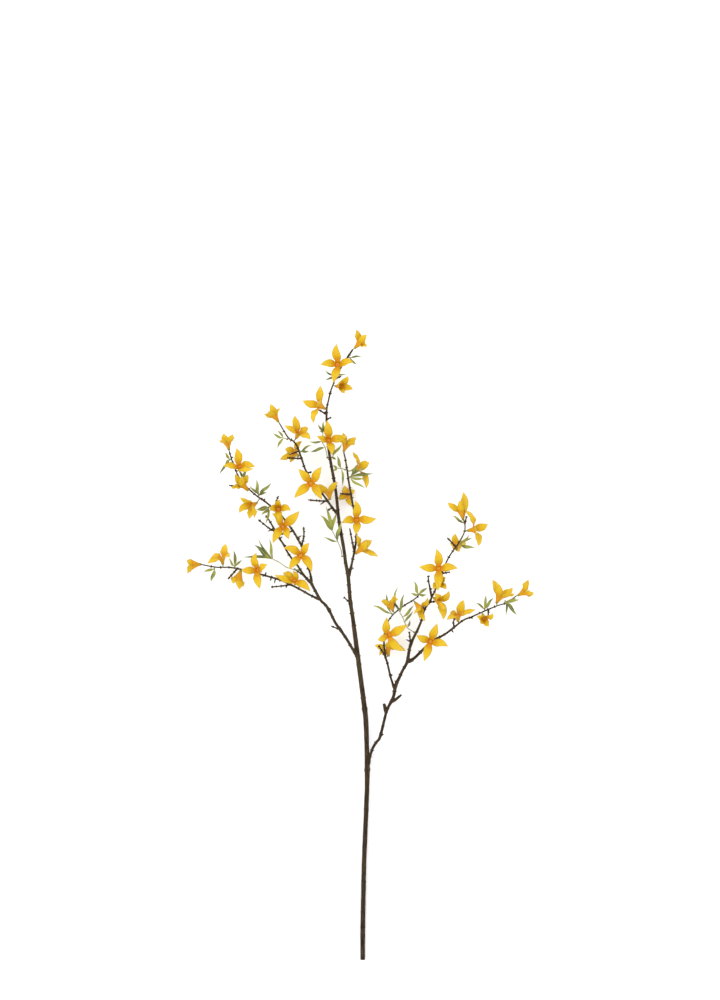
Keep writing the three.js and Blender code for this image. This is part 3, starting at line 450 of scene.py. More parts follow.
bark_bm = new_sheet_mesh()
bark_lines = {}
for name, (points, widths) in wood_lines.items():
    line = smooth_line(points, widths, RING_STEP)
    bark_lines[name] = line
    rings = line_rings(line)
    for ring in rings:
        ring[2] *= SKIN_SHARE
        if name != "main":
            out = (ring[0] - line[0][0]).length
            ring[2] *= 1 + CROTCH_FLARE * math.exp(-((out - CROTCH_REACH) / CROTCH_REACH) ** 2)
    rings += rings_along(*rings[-1], TWIG_END)
    heel, ahead, radius = rings[0]
    if name == "main":
        start = rings_along(heel, ahead, radius, CUT_FACE)
        rings[0] = [heel + ahead * CUT_BEVEL, ahead, radius]
    else:
        start = rings_along(heel, ahead, radius, ROUND_FOOT, radius)
    sides = STEM_SKIN_SIDES if name == "main" else TWIG_SKIN_SIDES
    lay_tube(bark_bm, start + rings, sides, bark_relief(line, len(start)))

# Closed buds in pairs: how far apart they stand on average and how long they are.
TWIG_NODES = (11, 1.3)
SPUR_NODES = (4.5, 1.1)
BARE_STEM = 300
NODE_BUD_SHAPE = [(0, 0), (0, 0.9), (0.4, 1), (0.75, 0.75), (0.95, 0.3), (1, 0)]
NODE_BUD_WIDTH = 1.6
NODE_BUD_SIDES = 6
NODE_BUD_LEAN = 0.8
NODE_BUD_GROWTH = 0.2
NODE_BUD_DEPTH = 0.3
NODE_BUD_LENGTHS = (0.5, 1.3)
FIRST_NODE = (0.3, 0.9)
NEXT_NODE = (0.7, 1.3)
NODE_TURN = 0.7


def lay_node_buds(bm, line, spacing, reach, looks):
    """Small closed buds in pairs along a twig, each pair turned a little from the last."""
    left = looks.uniform(*FIRST_NODE) * spacing
    for (before, _), (middle, width) in zip(line, line[1:-1]):
        ahead = middle - before
        left -= ahead.length
        if left > 0:
            continue
        left = spacing * looks.uniform(*NEXT_NODE)
        ahead.normalize()
        side, top = spoke_frame(ahead)
        turn = looks.uniform(-NODE_TURN, NODE_TURN)
        for way in (1, -1):
            out = side * math.cos(turn) * way + top * math.sin(turn)
            foot = middle + out * width * NODE_BUD_DEPTH
            length = width * NODE_BUD_GROWTH + reach * looks.uniform(*NODE_BUD_LENGTHS)
            along = (out + ahead * NODE_BUD_LEAN).normalized()
            lay_bud(bm, foot, along, length, NODE_BUD_WIDTH, NODE_BUD_SHAPE, NODE_BUD_SIDES)


node_looks = random.Random(5)
for name, line in bark_lines.items():
    budded = [ring for ring in line if name != "main" or ring[0].y > BARE_STEM]
    lay_node_buds(bark_bm, budded, *TWIG_NODES, node_looks)

SPUR_WIDTH = 2.2
SPUR_TAPER = 0.7
SPUR_RISE = 0.4
SPUR_DIP = 0.4
SPUR_JOINT = 0.25
SPUR_JOINT_TURN = 1.3
SPUR_END_SWELL = 1.35
SPUR_END = [(0.15, 0.8), (0.15, 0)]
SPUR_SIDES = 8
spur_draws = seeded_draws(11)
for spur in SPURS:
    foot = nearest_wood(*spur[0], all_lines)[0]
    points = [foot]
    for x, y in spur[1:]:
        reach = math.hypot(x - foot.x, y - foot.y)
        points.append(Vector((x, y, foot.z + (next(spur_draws) - SPUR_DIP) * SPUR_RISE * reach)))
    widths = [SPUR_WIDTH - SPUR_TAPER * i / (len(points) - 1) for i in range(len(points))]
    line = smooth_line(points, widths, RING_STEP)
    rings = line_rings(line)
    for j, ring in enumerate(rings):
        ring[2] *= 1 + SPUR_JOINT * max(0, math.sin(j * SPUR_JOINT_TURN)) ** 4
    rings[-1][2] *= SPUR_END_SWELL
    root = [foot, (points[1] - foot).normalized(), 0]
    lay_tube(bark_bm, [root, *rings, *rings_along(*rings[-1], SPUR_END)], SPUR_SIDES)
    lay_node_buds(bark_bm, line, *SPUR_NODES, node_looks)

BUD_SHAPE = [(0, 0), (0, 1), (0.35, 0.95), (0.5, 1), (0.68, 0.85), (0.85, 0.5), (0.97, 0.16), (1, 0)]
BUD_WIDTH = 1.8
BUD_SIDES = 8
BUD_DIP = 0.3
bud_draws = seeded_draws(23)
for x, y in BUD_TIPS:
    foot, _, distance = nearest_wood(x, y, all_lines)
    reach = Vector((x, y, foot.z + (next(bud_draws) - BUD_DIP) * distance)) - foot
    lay_bud(bark_bm, foot, reach.normalized(), reach.length, BUD_WIDTH, BUD_SHAPE, BUD_SIDES)

# Thin bark of young wood: matt brown, streaked along the grain, darker where it's older near the
# butt, olive where the light skin shows, and dotted with forsythia's raised pale pores. Streaks
# and pores are so far apart across and along the branch.
STREAK = (1.11, 11.1)
PORE = (3.03, 5)
PATCH = 71.4
bark_material = new_material("bark")
bark_map = add_node(bark_material, "UVMap", {"uv_map": "UVMap"}).outputs["UV"]
bark_spot = add_node(bark_material, "TexCoord").outputs["Object"]
streak_map = add_node(bark_material, "Mapping", {"Scale": (*map(per_metre, STREAK), 1)},
                      {"Vector": bark_map}).outputs["Vector"]
streaks = add_node(bark_material, "TexNoise", {"Scale": 1, "Detail": 5, "Roughness": 0.6},
                   {"Vector": streak_map}).outputs["Fac"]
along_branch = add_node(bark_material, "SeparateXYZ", {}, {"Vector": bark_spot}).outputs["Y"]
patches = add_node(bark_material, "TexNoise", {"Scale": per_metre(PATCH), "Detail": 2},
                   {"Vector": bark_spot}).outputs["Fac"]
pore_map = add_node(bark_material, "Mapping", {"Scale": (*map(per_metre, PORE), 1)},
                    {"Vector": bark_map}).outputs["Vector"]
pores = add_node(bark_material, "TexVoronoi", {"Scale": 1, "Randomness": 0.9},
                 {"Vector": pore_map}).outputs["Distance"]
fresh_tone = add_node(bark_material, "ValToRGB",
                      {"Stops": [(0.42, BARK_DARK), (0.64, BARK_BROWN)]},
                      {"Fac": streaks}).outputs["Color"]
bark_tone, bark_shares = lay_tones(bark_material, fresh_tone, [
    (along_branch, 0.45, 0.2, 0.42, BARK_DARK),
    (patches, 0.5, 0.7, 0.4, BARK_OLIVE),
    (pores, 0.2, 0.1, 0.8, BARK_PORE)])
bark_height = add_node(bark_material, "Math", {"operation": "ADD"},
                       {"Value": streaks, "Value_001": bark_shares[-1]}).outputs["Value"]
bark_bump = add_node(bark_material, "Bump", {"Strength": 0.5, "Distance": BUMP_DEPTH * MM},
                     {"Height": bark_height}).outputs["Normal"]
close_material(bark_material, {"Roughness": 0.75, "IOR": 1.45, "Specular IOR Level": 0.15},
               {"Base Color": bark_tone, "Normal": bark_bump})

# Fresh cut wood at the butt: pale and dry, with fine rings round a brown pith.
CUT_GRAIN = 0.556
cut_material = mottled_material("cut_wood", CUT_GRAIN, 3, [(0.3, PITH), (0.6, CUT_WOOD)],
                                {"Roughness": 0.8, "IOR": 1.45})

bark = finish_piece(bark_bm, "bark", [bark_material, cut_material], ["wood"])
for face in bark.data.polygons:
    off_pith = math.hypot(face.center.x, face.center.z - stem_height(0) * MM)
    in_bore = face.center.y < BORE_END * MM and off_pith < BORE_RADIUS * MM
    if in_bore or face.center.y < CUT_PLANE * MM:
        face.material_index = 1

# ---- Bloom stalks and calyxes ----
# Each bloom stands on a short stalk from the twig, with a small green cup of four lobes round its
# foot. Both are soft green growth, browned where bud scales still cling to the stalk.
STALK_WIDTH = 1.5
STALK_SIDES = 12
STALK_SHAPE = [(0, 1.35), (0.25, 1.1), (0.5, 0.9), (0.75, 0.95)]
SEAT_GAP = 0.3
CUP_RADIUS = 1.75
CUP_SHAPE = [(-0.3, 1), (0.1, 1.45), (0.9, CUP_RADIUS), (1.9, CUP_RADIUS + 0.15),
             (1.8, CUP_RADIUS - 0.1), (0.9, CUP_RADIUS - 0.3), (0.1, 0.9), (0.1, 0)]
CUP_LOBE = 1.8
LOBE_FOOT = 1.6
SEPAL_GREEN = "#7E8436"
SCALE_BROWN = "#665428"

# Each bloom: its foot, as [x, y, height above the twig that carries it]; the way its tube points,
# as [bearing from X, angle above the table] in degrees; and where its four petals end, measured
# from the middle of its throat.
BLOOMS = {
    "01": ([-9.6, 729, 0.5], [45, 15], [[-3, 17, 8], [10, 11, 10], [9, -4, 12], [8, 2, -14]]),
    "02": ([-29.7, 707.8, 3.2], [100, 78], [[-5, -23, 5], [19, 2, 12], [-1, 25, 5], [-21, -1, 9]]),
    "03": ([-32.4, 683.4, 0], [0, 45], [[10, 12, 6], [16, -4, 5], [6, -9, 6], [-1, 5, 14]]),
    "04": ([-45, 656.4, 3.5], [150, 25], [[-8, -21, 6], [0, 6, 22], [0, 25, -5], [-22, 7, -5]]),
    "05": ([-41.8, 615.8, 3.2], [70, 65], [[-14, 5, 14], [4, -18, 12], [23, 5, 7], [-2, 24, 5]]),
    "06": ([-22.7, 605.6, 0], [70, 10], [[-12, 10, 13], [11, 4, 13], [13, 10, -6], [-3, 16, 2]]),
    "08": ([-39.5, 547.8, 2], [98, 12], [[-19, 10, 13], [11, 14, 14], [9, 11, 1], [-16, 9, 5]]),
    "09": ([-62, 566.2, 3.2], [90, 80], [[-20, -18, 5], [13, -20, 5], [13, 20, 5], [-15, 17, 5]]),
    "10": ([-100.8, 640.8, 0], [122, 10], [[-8, 6, 16], [4, 10, 10], [-6, 16, -7], [-14, 3, 5]]),
    "11": ([-79.8, 621, 0], [65, 30], [[-16, 10, 14], [15, -7, 16], [12, 7, -10], [-4, 22, -7]]),
    "12": ([-76.8, 600, 0], [150, -35], [[-18, -7, 0], [-11, 5, 11], [9, 15, -9], [-6, -11, -15]]),
    "13": ([-12.6, 582.6, 0], [20, -5], [[-6, 20, 5], [14, 7, 17], [10, -24, 5], [8, 3, -21]]),
    "14": ([-7.9, 522.3, 3.2], [60, 80], [[-18, -4, 12], [-1, -18, 13], [24, 2, 5], [-2, 24, 5]]),
    "15": ([-8.4, 483, 0.8], [42, 15], [[8, 11, 19], [22, -8, 5], [15, 11, -13], [-5, 18, 6]]),
    "16": ([-14.1, 555, -3.2], [200, -60], [[-11, -7, -7], [-4, 11, -14], [8, 5, -17], [4, -14, -13]]),
    "20": ([31, 360, -3.5], [100, -12], [[-16, 6, -3], [10, 8, 22], [22, -1, -5], [-10, -7, -10]]),
    "21": ([34.9, 386.9, 3], [200, 62], [[19, -19, 3], [22, 13, 5], [-3, 22, 7], [-14, -6, -2]]),
    "22": ([36.2, 414.6, 6], [112, 10], [[-8, 8, 14], [4, 12, 12], [9, 8, -1], [-12, 5, -3]]),
    "23": ([62.6, 424.7, 3], [-50, 20], [[11, 11, 12], [8, -17, 8], [-6, -8, 12], [1, -15, -2]]),
    "25": ([90.6, 464.2, 3.2], [90, 80], [[-24, 2, 5], [-1, -27, 5], [23, 0, 5], [-3, 24, 5]]),
    "26": ([88.5, 444, 3.2], [60, 50], [[8, 7, 10], [-6, 9, 9], [-6, -8, 8], [9, -7, 8]]),
    "27": ([85, 430, 2.5], [-30, 30], [[13, 12, 4], [6, -23, 2], [-5, 9, 12], [9, -9, 14]]),
    "28": ([112.2, 488.5, -3.2], [90, -60], [[-7, 2, -16], [-1, 15, -8], [11, -3, -16], [4, -7, -21.8]]),
    "29": ([125.4, 510.6, 0], [10, 15], [[-11, 24, 2], [2, -4, 23], [6, -20, -6], [18, 7, -12]]),
    "30": ([120, 523.8, 0], [98, 5], [[-4, 16, 11], [5, 17, 9], [1, 27, -5], [-18, 14, -5]]),
    "31": ([81, 377.1, 3.2], [90, 82], [[-8, -24, 5], [21, -6, 10], [8, 22, 5], [-17, 8, 9]]),
    "32": ([114, 402, 0], [90, 25], [[-14, -4, 17], [21, 8, 5], [7, 19, -10], [-9, 4, -7]]),
    "33": ([143.6, 410.3, 0], [-70, 50], [[10, 6, 8], [-9, 3, 8], [6, -10, 5], [-5, -6, 10]]),
    "34": ([160.1, 423.8, 0], [65, 10], [[-4, 19, 14], [18, 5, 16], [17, 12, -12], [-8, 22, -5]]),
    "35": ([186, 433.2, 0], [30, 8], [[2, 13, 13], [12, 0, 12], [10, -5, -5], [7, 15, -9]]),
    "36": ([-160, 607.4, 0], [102, 8], [[-9, 4, 13], [9, 8, 14], [6, 12, -5], [-5, 13, -10]]),
    "37": ([-147, 583.1, 2.5], [90, 58], [[-20, 1, 9], [17, -2, 14], [19, 0, 8], [-4, 23, -5]]),
    "38": ([-137.4, 558.6, 3.5], [130, 20], [[-15, -3, 10], [-2, 12, 18], [5, 14, 6], [-11, 15, 0]]),
    "39a": ([-127, 543.6, 2.5], [205, 45], [[-4, -17, 6], [-15, 9, 9], [-16, -10, -5], [2, -16, 9]]),
    "39b": ([-101.2, 534.8, 3.2], [80, 75], [[-10, -2, 14], [1, -13, 13], [15, -2, 10], [2, 11, 9]]),
    "39c": ([-97, 514.5, 3.2], [30, 75], [[-13, 16, 11], [-12, -20, 5], [7, -15, 9], [20, 19, 5]]),
    "40": ([-74, 480, 3.2], [90, 80], [[-14, -17, 6], [13, -20, 5], [10, 15, 7], [-21, 9, 5]]),
    "41": ([-122.5, 463.6, 3.2], [180, 62], [[3, -23, 5], [12, 7, 18], [-1, 21, 10], [-20, 0, -1]]),
    "42": ([-81, 446.2, 3], [100, 50], [[-24, 7, 5], [19, -13, 5], [-2, 12, -4], [-14, 9, -11]]),
    "43": ([-146, 462.6, 0], [-110, -5], [[1, -16, 9], [-7, -9, 7], [-7, -3, -21.7], [5, -13, -11]]),
    "44": ([-167.6, 470.4, 0], [100, 15], [[-17, -6, 15], [10, 2, 21], [4, 18, -13], [-12, 3, -9]]),
    "45": ([-193.8, 470.2, 0], [182, 8], [[-9, -11, 12], [-10, 5, 13], [-9, 3, -9], [-10, -8, -7]]),
}


def facing_vector(bearing, rise):
    """The direction with that bearing and angle above the table, in degrees."""
    turn, lift = math.radians(bearing), math.radians(rise)
    return Vector((math.cos(lift) * math.cos(turn), math.cos(lift) * math.sin(turn), math.sin(lift)))


stalk_bm = new_sheet_mesh()
bloom_seats = {}
for key, ((x, y, lift), facing, _) in BLOOMS.items():
    carrier = nearest_wood(x, y, all_lines)[0]
    foot = Vector((x, y, carrier.z + lift))
    axis = facing_vector(*facing)
    bloom_seats[key] = (foot, axis)
    end = foot - axis * SEAT_GAP
    straight = (end - carrier).normalized()
    rings = [[carrier, straight, 0]]
    for share, full in STALK_SHAPE:
        leave = straight.lerp(axis, share).normalized()
        rings.append([carrier.lerp(end, share), leave, STALK_WIDTH / 2 * full])
    start = len(stalk_bm.verts)
    lay_tube(stalk_bm, rings + rings_along(end, axis, 1, CUP_SHAPE), STALK_SIDES)
    stalk_bm.verts.ensure_lookup_table()
    side, top = spoke_frame(axis)
    for vert in stalk_bm.verts[start:]:
        out = vert.co - end
        if out.dot(axis) > LOBE_FOOT:
            angle = math.atan2(out.dot(top), out.dot(side))
            vert.co += axis * CUP_LOBE * (abs(math.cos(2 * angle)) - 0.5)

# Soft young plant skin: green in the cup, turning brown towards the twig, with a faint sheen.
CALYX_MOTTLE = 3.846
calyx_material = mottled_material(
    "calyx", CALYX_MOTTLE, 3, [(0.38, SCALE_BROWN), (0.6, SEPAL_GREEN)],
    {"Roughness": 0.55, "IOR": 1.42})
finish_piece(stalk_bm, "bloom_stalks", [calyx_material], ["wood"])

# ---- Blooms ----
# A forsythia bloom is one yellow skin: a short tube that opens into four long petals, which turn
# their faces to the light and twist a little. Each petal is a grid with its quarter of the tube,
# sewn to its neighbours up to the throat, and given the thickness of a petal.
TUBE_LENGTH = 7
FOOT_RADIUS = 1.3
THROAT_RADIUS = 3.1
RIM_BITE = 0.3
WEB_REACH = 1.7
WEB_RISE = 0.6
PETAL_WIDTH = 4.4
PETAL_GAIN = 0.22
PETAL_NECK = 0.64
PETAL_SWELL = 0.4
PETAL_WIDEST = 0.4
PETAL_POINT = 1.65
PETAL_BITE = 0.4
PETAL_LEAN = 0.6
PETAL_CREASE = 0.8
PETAL_TURN = 1.6
PETAL_TWIST = 0.4
PETAL_WAVES = 2.5
PETAL_RIPPLE = (0.4, 0.95)
PETAL_BOW = 0.14
PETAL_BLEND = 0.25
PETAL_SKIN = 0.45
PETAL_SHARE = 0.99
TUBE_ROWS = 3
BLADE_ROWS = 11
PETAL_COLUMNS = 6
THROAT_SIDES = 12
THROAT_ROWS = 3
THROAT_FLOOR = 2.55
THROAT_SINK = 1.4
THROAT_DISH = 0.35
THROAT_ORANGE = "#D48A10"
THROAT_RED = "#E8961A"
PETAL_FOOT = "#9A8A2C"
PETAL_DEEP = "#BE8C08"
# Painted shade: the olive gold that darkens each petal's edge, as if its curled rim fell in shadow.
PETAL_EDGE_SHADE = "#A48A1E"
PETAL_YELLOW = "#CBAB12"
PETAL_LIGHT = "#D1B42A"
PETAL_TIP = "#D8B848"

# Blooms that grow into each other are one piece.
FUSED = [("05", "06"), ("08", "09"), ("20", "21"), ("25", "26"), ("29", "30"), ("39b", "39c")]


def petal_fullness(share):
    """Width of a petal at a share of its length: narrow at the throat, then to a soft point."""
    if share < PETAL_WIDEST:
        return PETAL_NECK + PETAL_SWELL * math.sin(share / PETAL_WIDEST * math.pi / 2)
    past = (share - PETAL_WIDEST) / (1 - PETAL_WIDEST)
    return (PETAL_NECK + PETAL_SWELL) * (1 - past ** PETAL_POINT)


def lay_petal(bm, foot, axis, tip, out_angle, across, over, twist, look):
    """One petal with its quarter of the tube. look holds its own ripple, phase and bow."""
    ripple_size, phase, bow = look
    throat = foot + axis * TUBE_LENGTH
    out = across * math.cos(out_angle) + over * math.sin(out_angle)
    length = tip.length
    width = PETAL_WIDTH + PETAL_GAIN * length
    lean = PETAL_LEAN * tip.angle(axis)
    start = throat + out * (THROAT_RADIUS - PETAL_BITE)
    bend = start + axis * (0.5 * length * math.cos(lean)) + out * (0.5 * length * math.sin(lean))
    end = throat + tip * PETAL_SHARE
    sideways = axis.cross(out)
    turn_side = 1 if UP.cross(end - start).dot(sideways) > 0 else -1

    def rim_point(s, radius, height, web):
        angle = out_angle + s * math.pi / 4
        ray = across * math.cos(angle) + over * math.sin(angle)
        reach = web * s * s
        return foot + axis * (height + WEB_RISE * reach) + ray * (radius + reach)

    def place(i, j):
        s = 2 * i / PETAL_COLUMNS - 1
        if j == 0:
            return foot.copy()
        if j < TUBE_ROWS:
            share = (j - 1) / (TUBE_ROWS - 1)
            radius = FOOT_RADIUS + (THROAT_RADIUS - FOOT_RADIUS) * share
            return rim_point(s, radius, TUBE_LENGTH * share, 0)
        rim = rim_point(s, THROAT_RADIUS - RIM_BITE, TUBE_LENGTH, WEB_REACH)
        share = (j - TUBE_ROWS) / BLADE_ROWS
        if share == 0:
            return rim
        middle = start * (1 - share) ** 2 + bend * 2 * share * (1 - share) + end * share ** 2
        along = ((bend - start) * (1 - share) + (end - bend) * share).normalized()
        wide = (sideways - along * sideways.dot(along)).normalized()
        level = UP.cross(along)
        wide = (wide + level * PETAL_TURN * share * turn_side).normalized()
        wide.rotate(Quaternion(along, twist * share))
        face = along.cross(wide)
        full = petal_fullness(share)
        ripple = ripple_size * math.sin(2 * math.pi * (PETAL_WAVES * share + phase) + s) * s * s
        groove = PETAL_CREASE * (1.35 * abs(s) ** 1.6 - 0.35 * s ** 4)
        middle += wide * bow * length * math.sin(math.pi * share) * share
        blade = middle + wide * s * width / 2 * full + face * (groove + ripple) * full
        blend = min(share / PETAL_BLEND, 1)
        blend = blend * blend * (3 - 2 * blend)
        return (rim + middle - start).lerp(blade, blend)

    lay_sheet(bm, PETAL_COLUMNS, TUBE_ROWS + BLADE_ROWS, place)


def lay_throat(bm, foot, axis):
    """The orange floor of the throat, a shallow dish whose edge meets the wall of the tube."""
    side, top = spoke_frame(axis)

    def place(i, j):
        angle = 2 * math.pi * (i % THROAT_SIDES) / THROAT_SIDES
        share = j / THROAT_ROWS
        rise = TUBE_LENGTH - THROAT_SINK - THROAT_DISH * (1 - share ** 2)
        out = (side * math.cos(angle) + top * math.sin(angle)) * (THROAT_FLOOR * share)
        return foot + axis * rise + out

    lay_sheet(bm, THROAT_SIDES, THROAT_ROWS, place, finish=1)


def lay_bloom(bm, foot, axis, tips, draws, looks):
    """Four petals round the tube, in the order in which they stand, and the throat."""
    across = axis.cross(UP).normalized()
    over = axis.cross(across)

    def bearing(tip):
        return math.atan2(tip.dot(over), tip.dot(across))

    tips = sorted((Vector(tip) for tip in tips), key=bearing)
    spin = sum(bearing(tip) - k * math.pi / 2 for k, tip in enumerate(tips)) / 4
    for k, tip in enumerate(tips):
        look = (looks.uniform(*PETAL_RIPPLE), looks.random(), looks.uniform(-PETAL_BOW, PETAL_BOW))
        twist = (next(draws) * 2 - 1) * PETAL_TWIST
        lay_petal(bm, foot, axis, tip, spin + k * math.pi / 2, across, over, twist, look)
    lay_throat(bm, foot, axis)


def blade_map(material):
    """A blade's own map: (the map, the share of its length, the distance from its middle)."""
    flat = add_node(material, "UVMap", {"uv_map": "UVMap"}).outputs["UV"]
    axes = add_node(material, "SeparateXYZ", {}, {"Vector": flat}).outputs
    off_middle = add_node(material, "Math", {"operation": "SUBTRACT", "Value_001": 0.5},
                          {"Value": axes["X"]}).outputs["Value"]
    from_middle = add_node(material, "Math", {"operation": "ABSOLUTE"},
                           {"Value": off_middle}).outputs["Value"]
    return flat, axes["Y"], from_middle


# Fresh petal skin: thin, satin and slightly see-through, deep orange down the throat, golden on
# the blade and paler at the tip, with faint veins along it, and painted shade darkening its edge
# as if the curled rim fell in shadow. Its map is one unit wide, and a unit of the wave texture
# holds twenty radians of bands.
PETAL_CLOUD = 18.18
PETAL_DRIFT = 0.07
PETAL_FLECK = 2.381
PETAL_VEINS = 7.64
WAVE_RADIANS = 20
petal_material = new_material("petal")
petal_spot = add_node(petal_material, "TexCoord").outputs["Object"]
petal_map, petal_length, petal_edge_shade = blade_map(petal_material)
cloud = add_node(petal_material, "TexNoise", {"Scale": per_metre(PETAL_CLOUD), "Detail": 2},
                 {"Vector": petal_spot}).outputs["Fac"]
drift = add_node(petal_material, "MapRange", {"To Min": -PETAL_DRIFT, "To Max": PETAL_DRIFT},
                 {"Value": cloud}).outputs["Result"]
length_share = add_node(petal_material, "Math", {"operation": "ADD"},
                        {"Value": petal_length, "Value_001": drift}).outputs["Value"]
flecks = add_node(petal_material, "TexNoise", {"Scale": per_metre(PETAL_FLECK), "Detail": 3},
                  {"Vector": petal_spot}).outputs["Fac"]
veins = add_node(petal_material, "TexWave",
                 {"wave_type": "BANDS", "bands_direction": "X", "Distortion": 0.7, "Detail": 1,
                  "Detail Scale": 3, "Scale": PETAL_VEINS * 2 * math.pi / WAVE_RADIANS},
                 {"Vector": petal_map}).outputs["Fac"]
fresh_petal = add_node(petal_material, "ValToRGB", {"Stops": [
    (0.02, PETAL_FOOT), (0.12, PETAL_DEEP), (0.24, THROAT_ORANGE), (0.36, PETAL_DEEP),
    (0.52, PETAL_YELLOW), (0.8, PETAL_LIGHT), (0.98, PETAL_TIP)]},
                       {"Fac": length_share}).outputs["Color"]
petal_tone, _ = lay_tones(petal_material, fresh_petal, [
    (flecks, 0.5, 0.68, 0.4, PETAL_DEEP),
    (veins, 0.5, 1, 0.5, PETAL_DEEP),
    # painted shade along each petal's edge, standing in for the shadow of its curled rim
    (petal_edge_shade, 0.36, 0.5, 0.55, PETAL_EDGE_SHADE)])
petal_bump = add_node(petal_material, "Bump", {"Strength": 0.5, "Distance": BUMP_DEPTH * MM},
                      {"Height": veins}).outputs["Normal"]
close_material(petal_material, {
    "Roughness": 0.58, "IOR": 1.4, "Specular IOR Level": 0.25, "Subsurface Weight": 0.45,
    "Subsurface Radius": (1, 0.8, 0.2), "Subsurface Scale": 0.001},
               {"Base Color": petal_tone, "Normal": petal_bump})

# The floor of the throat is waxy and deeper orange, where the nectar sits.
throat_material = new_material("throat")
throat_map = add_node(throat_material, "UVMap", {"uv_map": "UVMap"}).outputs["UV"]
throat_axes = add_node(throat_material, "SeparateXYZ", {}, {"Vector": throat_map}).outputs
throat_colour = add_node(throat_material, "ValToRGB", {"Stops": [
    (0.2, THROAT_ORANGE), (0.6, THROAT_RED), (1, THROAT_ORANGE)]},
                         {"Fac": throat_axes["Y"]}).outputs["Color"]
close_material(throat_material, {"Roughness": 0.45, "IOR": 1.4}, {"Base Color": throat_colour})


def thicken(piece, thickness):
    """Gives a thin skin its thickness, half of it on each side."""
    skin = piece.modifiers.new("skin", "SOLIDIFY")
    skin.thickness = thickness * MM
    skin.offset = 0


petal_draws = seeded_draws(37)
petal_looks = random.Random(7)
bloom_meshes = {}
for key, (foot, axis) in bloom_seats.items():
    bloom_meshes[key] = new_sheet_mesh()
    lay_bloom(bloom_meshes[key], foot, axis, BLOOMS[key][2], petal_draws, petal_looks)
alone = [(key,) for key in BLOOMS if not any(key in group for group in FUSED)]
for group in FUSED + alone:
    whole = bloom_meshes[group[0]]
    for key in group[1:]:
        extra = bpy.data.meshes.new("extra")
        bloom_meshes[key].to_mesh(extra)
        whole.from_mesh(extra)
        bpy.data.meshes.remove(extra)
    name = "_".join(group)
    petals = finish_piece(whole, "petals_" + name, [petal_material, throat_material],
                          ["bloom_" + name])
    thicken(petals, PETAL_SKIN)

# ---- Stamens and styles ----
# Inside each throat two short stamens with orange pollen heads stand round a green style. They
# are soft threads that grow from the foot of the tube.
THREAD_FOOT = 5
THREAD_SIDES = 6
FILAMENT_RADIUS = 0.28
FILAMENT_TOP = 6.3
FILAMENT_SPREAD = 0.8
ANTHER_RADIUS = 0.8
ANTHER_STRETCH = (0.75, 0.75, 1.5)
ANTHER_RISE = 0.5
STYLE_TOP = 6.9
STYLE_LEAN = 0.5
STIGMA_SHAPE = [(0, FILAMENT_RADIUS), (0.3, 0.6), (0.8, 0.55), (1.1, 0)]
POLLEN_ORANGE = "#E3A23A"
POLLEN_PALE = "#EDC46A"
STYLE_GREEN = "#C9A948"


def lay_bead(bm, middle, axis, radius, stretch):
    """A round bead, stretched across and along its axis."""
    turn = axis.to_track_quat("Z", "Y").to_matrix().to_4x4()
    seat = Matrix.Translation(middle) @ turn @ Matrix.Diagonal((*stretch, 1))
    bmesh.ops.create_icosphere(bm, subdivisions=2, radius=radius, matrix=seat)


stamen_bm = new_sheet_mesh()
style_bm = new_sheet_mesh()
for foot, axis in bloom_seats.values():
    side, top = spoke_frame(axis)
    low = foot + axis * THREAD_FOOT
    for way in (-1, 1):
        high = foot + axis * FILAMENT_TOP + side * way * FILAMENT_SPREAD
        along = (high - low).normalized()
        lay_tube(stamen_bm, [[low, along, 0], [low, along, FILAMENT_RADIUS],
                             [high, along, FILAMENT_RADIUS], [high, along, 0]], THREAD_SIDES)
        lay_bead(stamen_bm, high + axis * ANTHER_RISE, axis, ANTHER_RADIUS, ANTHER_STRETCH)
    high = foot + axis * STYLE_TOP + top * STYLE_LEAN
    lay_tube(style_bm, [[low, axis, 0], [low, axis, FILAMENT_RADIUS],
                        *rings_along(high, axis, 1, STIGMA_SHAPE)], THREAD_SIDES)

# Pollen heads: dry, dull orange grains on a waxy thread. Real grains are too fine to show, so
# they are drawn this coarse.
POLLEN_GRAIN = 0.4
pollen_material = mottled_material(
    "pollen", POLLEN_GRAIN, 2, [(0.35, POLLEN_ORANGE), (0.65, POLLEN_PALE)],
    {"Roughness": 0.8, "IOR": 1.4})

# A style is smooth wet-looking tissue, yellow green all through.
style_material = new_material("style")
close_material(style_material,
               {"Base Color": linear(STYLE_GREEN), "Roughness": 0.4, "IOR": 1.4})
finish_piece(stamen_bm, "stamens", [pollen_material])
finish_piece(style_bm, "styles", [style_material])

# ---- Leaf sprays ----
# Young leaves in small sprays: each grows from a bud on the twig, some on a thin green shoot.
# A leaf is a thin folded blade, widest below its middle, with a saw edge and a sunk midrib.
BEAD_RADIUS = 1.3
BEAD_STRETCH = (0.85, 0.85, 1.25)
BEAD_LIFT = 0.6
SHOOT_RADIUS = 0.5
SHOOT_SIDES = 8
SHOOT_STEP = 1.5
SHOOT_CLIMB = 1
LEAF_ROOT_DEPTH = 0.5
LEAF_STALK = 0.14
LEAF_ARCH = 0.1
LEAF_CREASE = 0.8
LEAF_ROLL = 0.6
LEAF_WAVE = 0.045
LEAF_SKIN = 0.3
LEAF_ROWS = 16
LEAF_COLUMNS = 6
SAW_DEPTH = 0.05
LEAF_DARK = "#46501F"
LEAF_GREEN = "#8D9038"
LEAF_PALE = "#A7A85A"
SHOOT_GREEN = "#7C8A48"
BUD_BROWN = "#6B5A30"

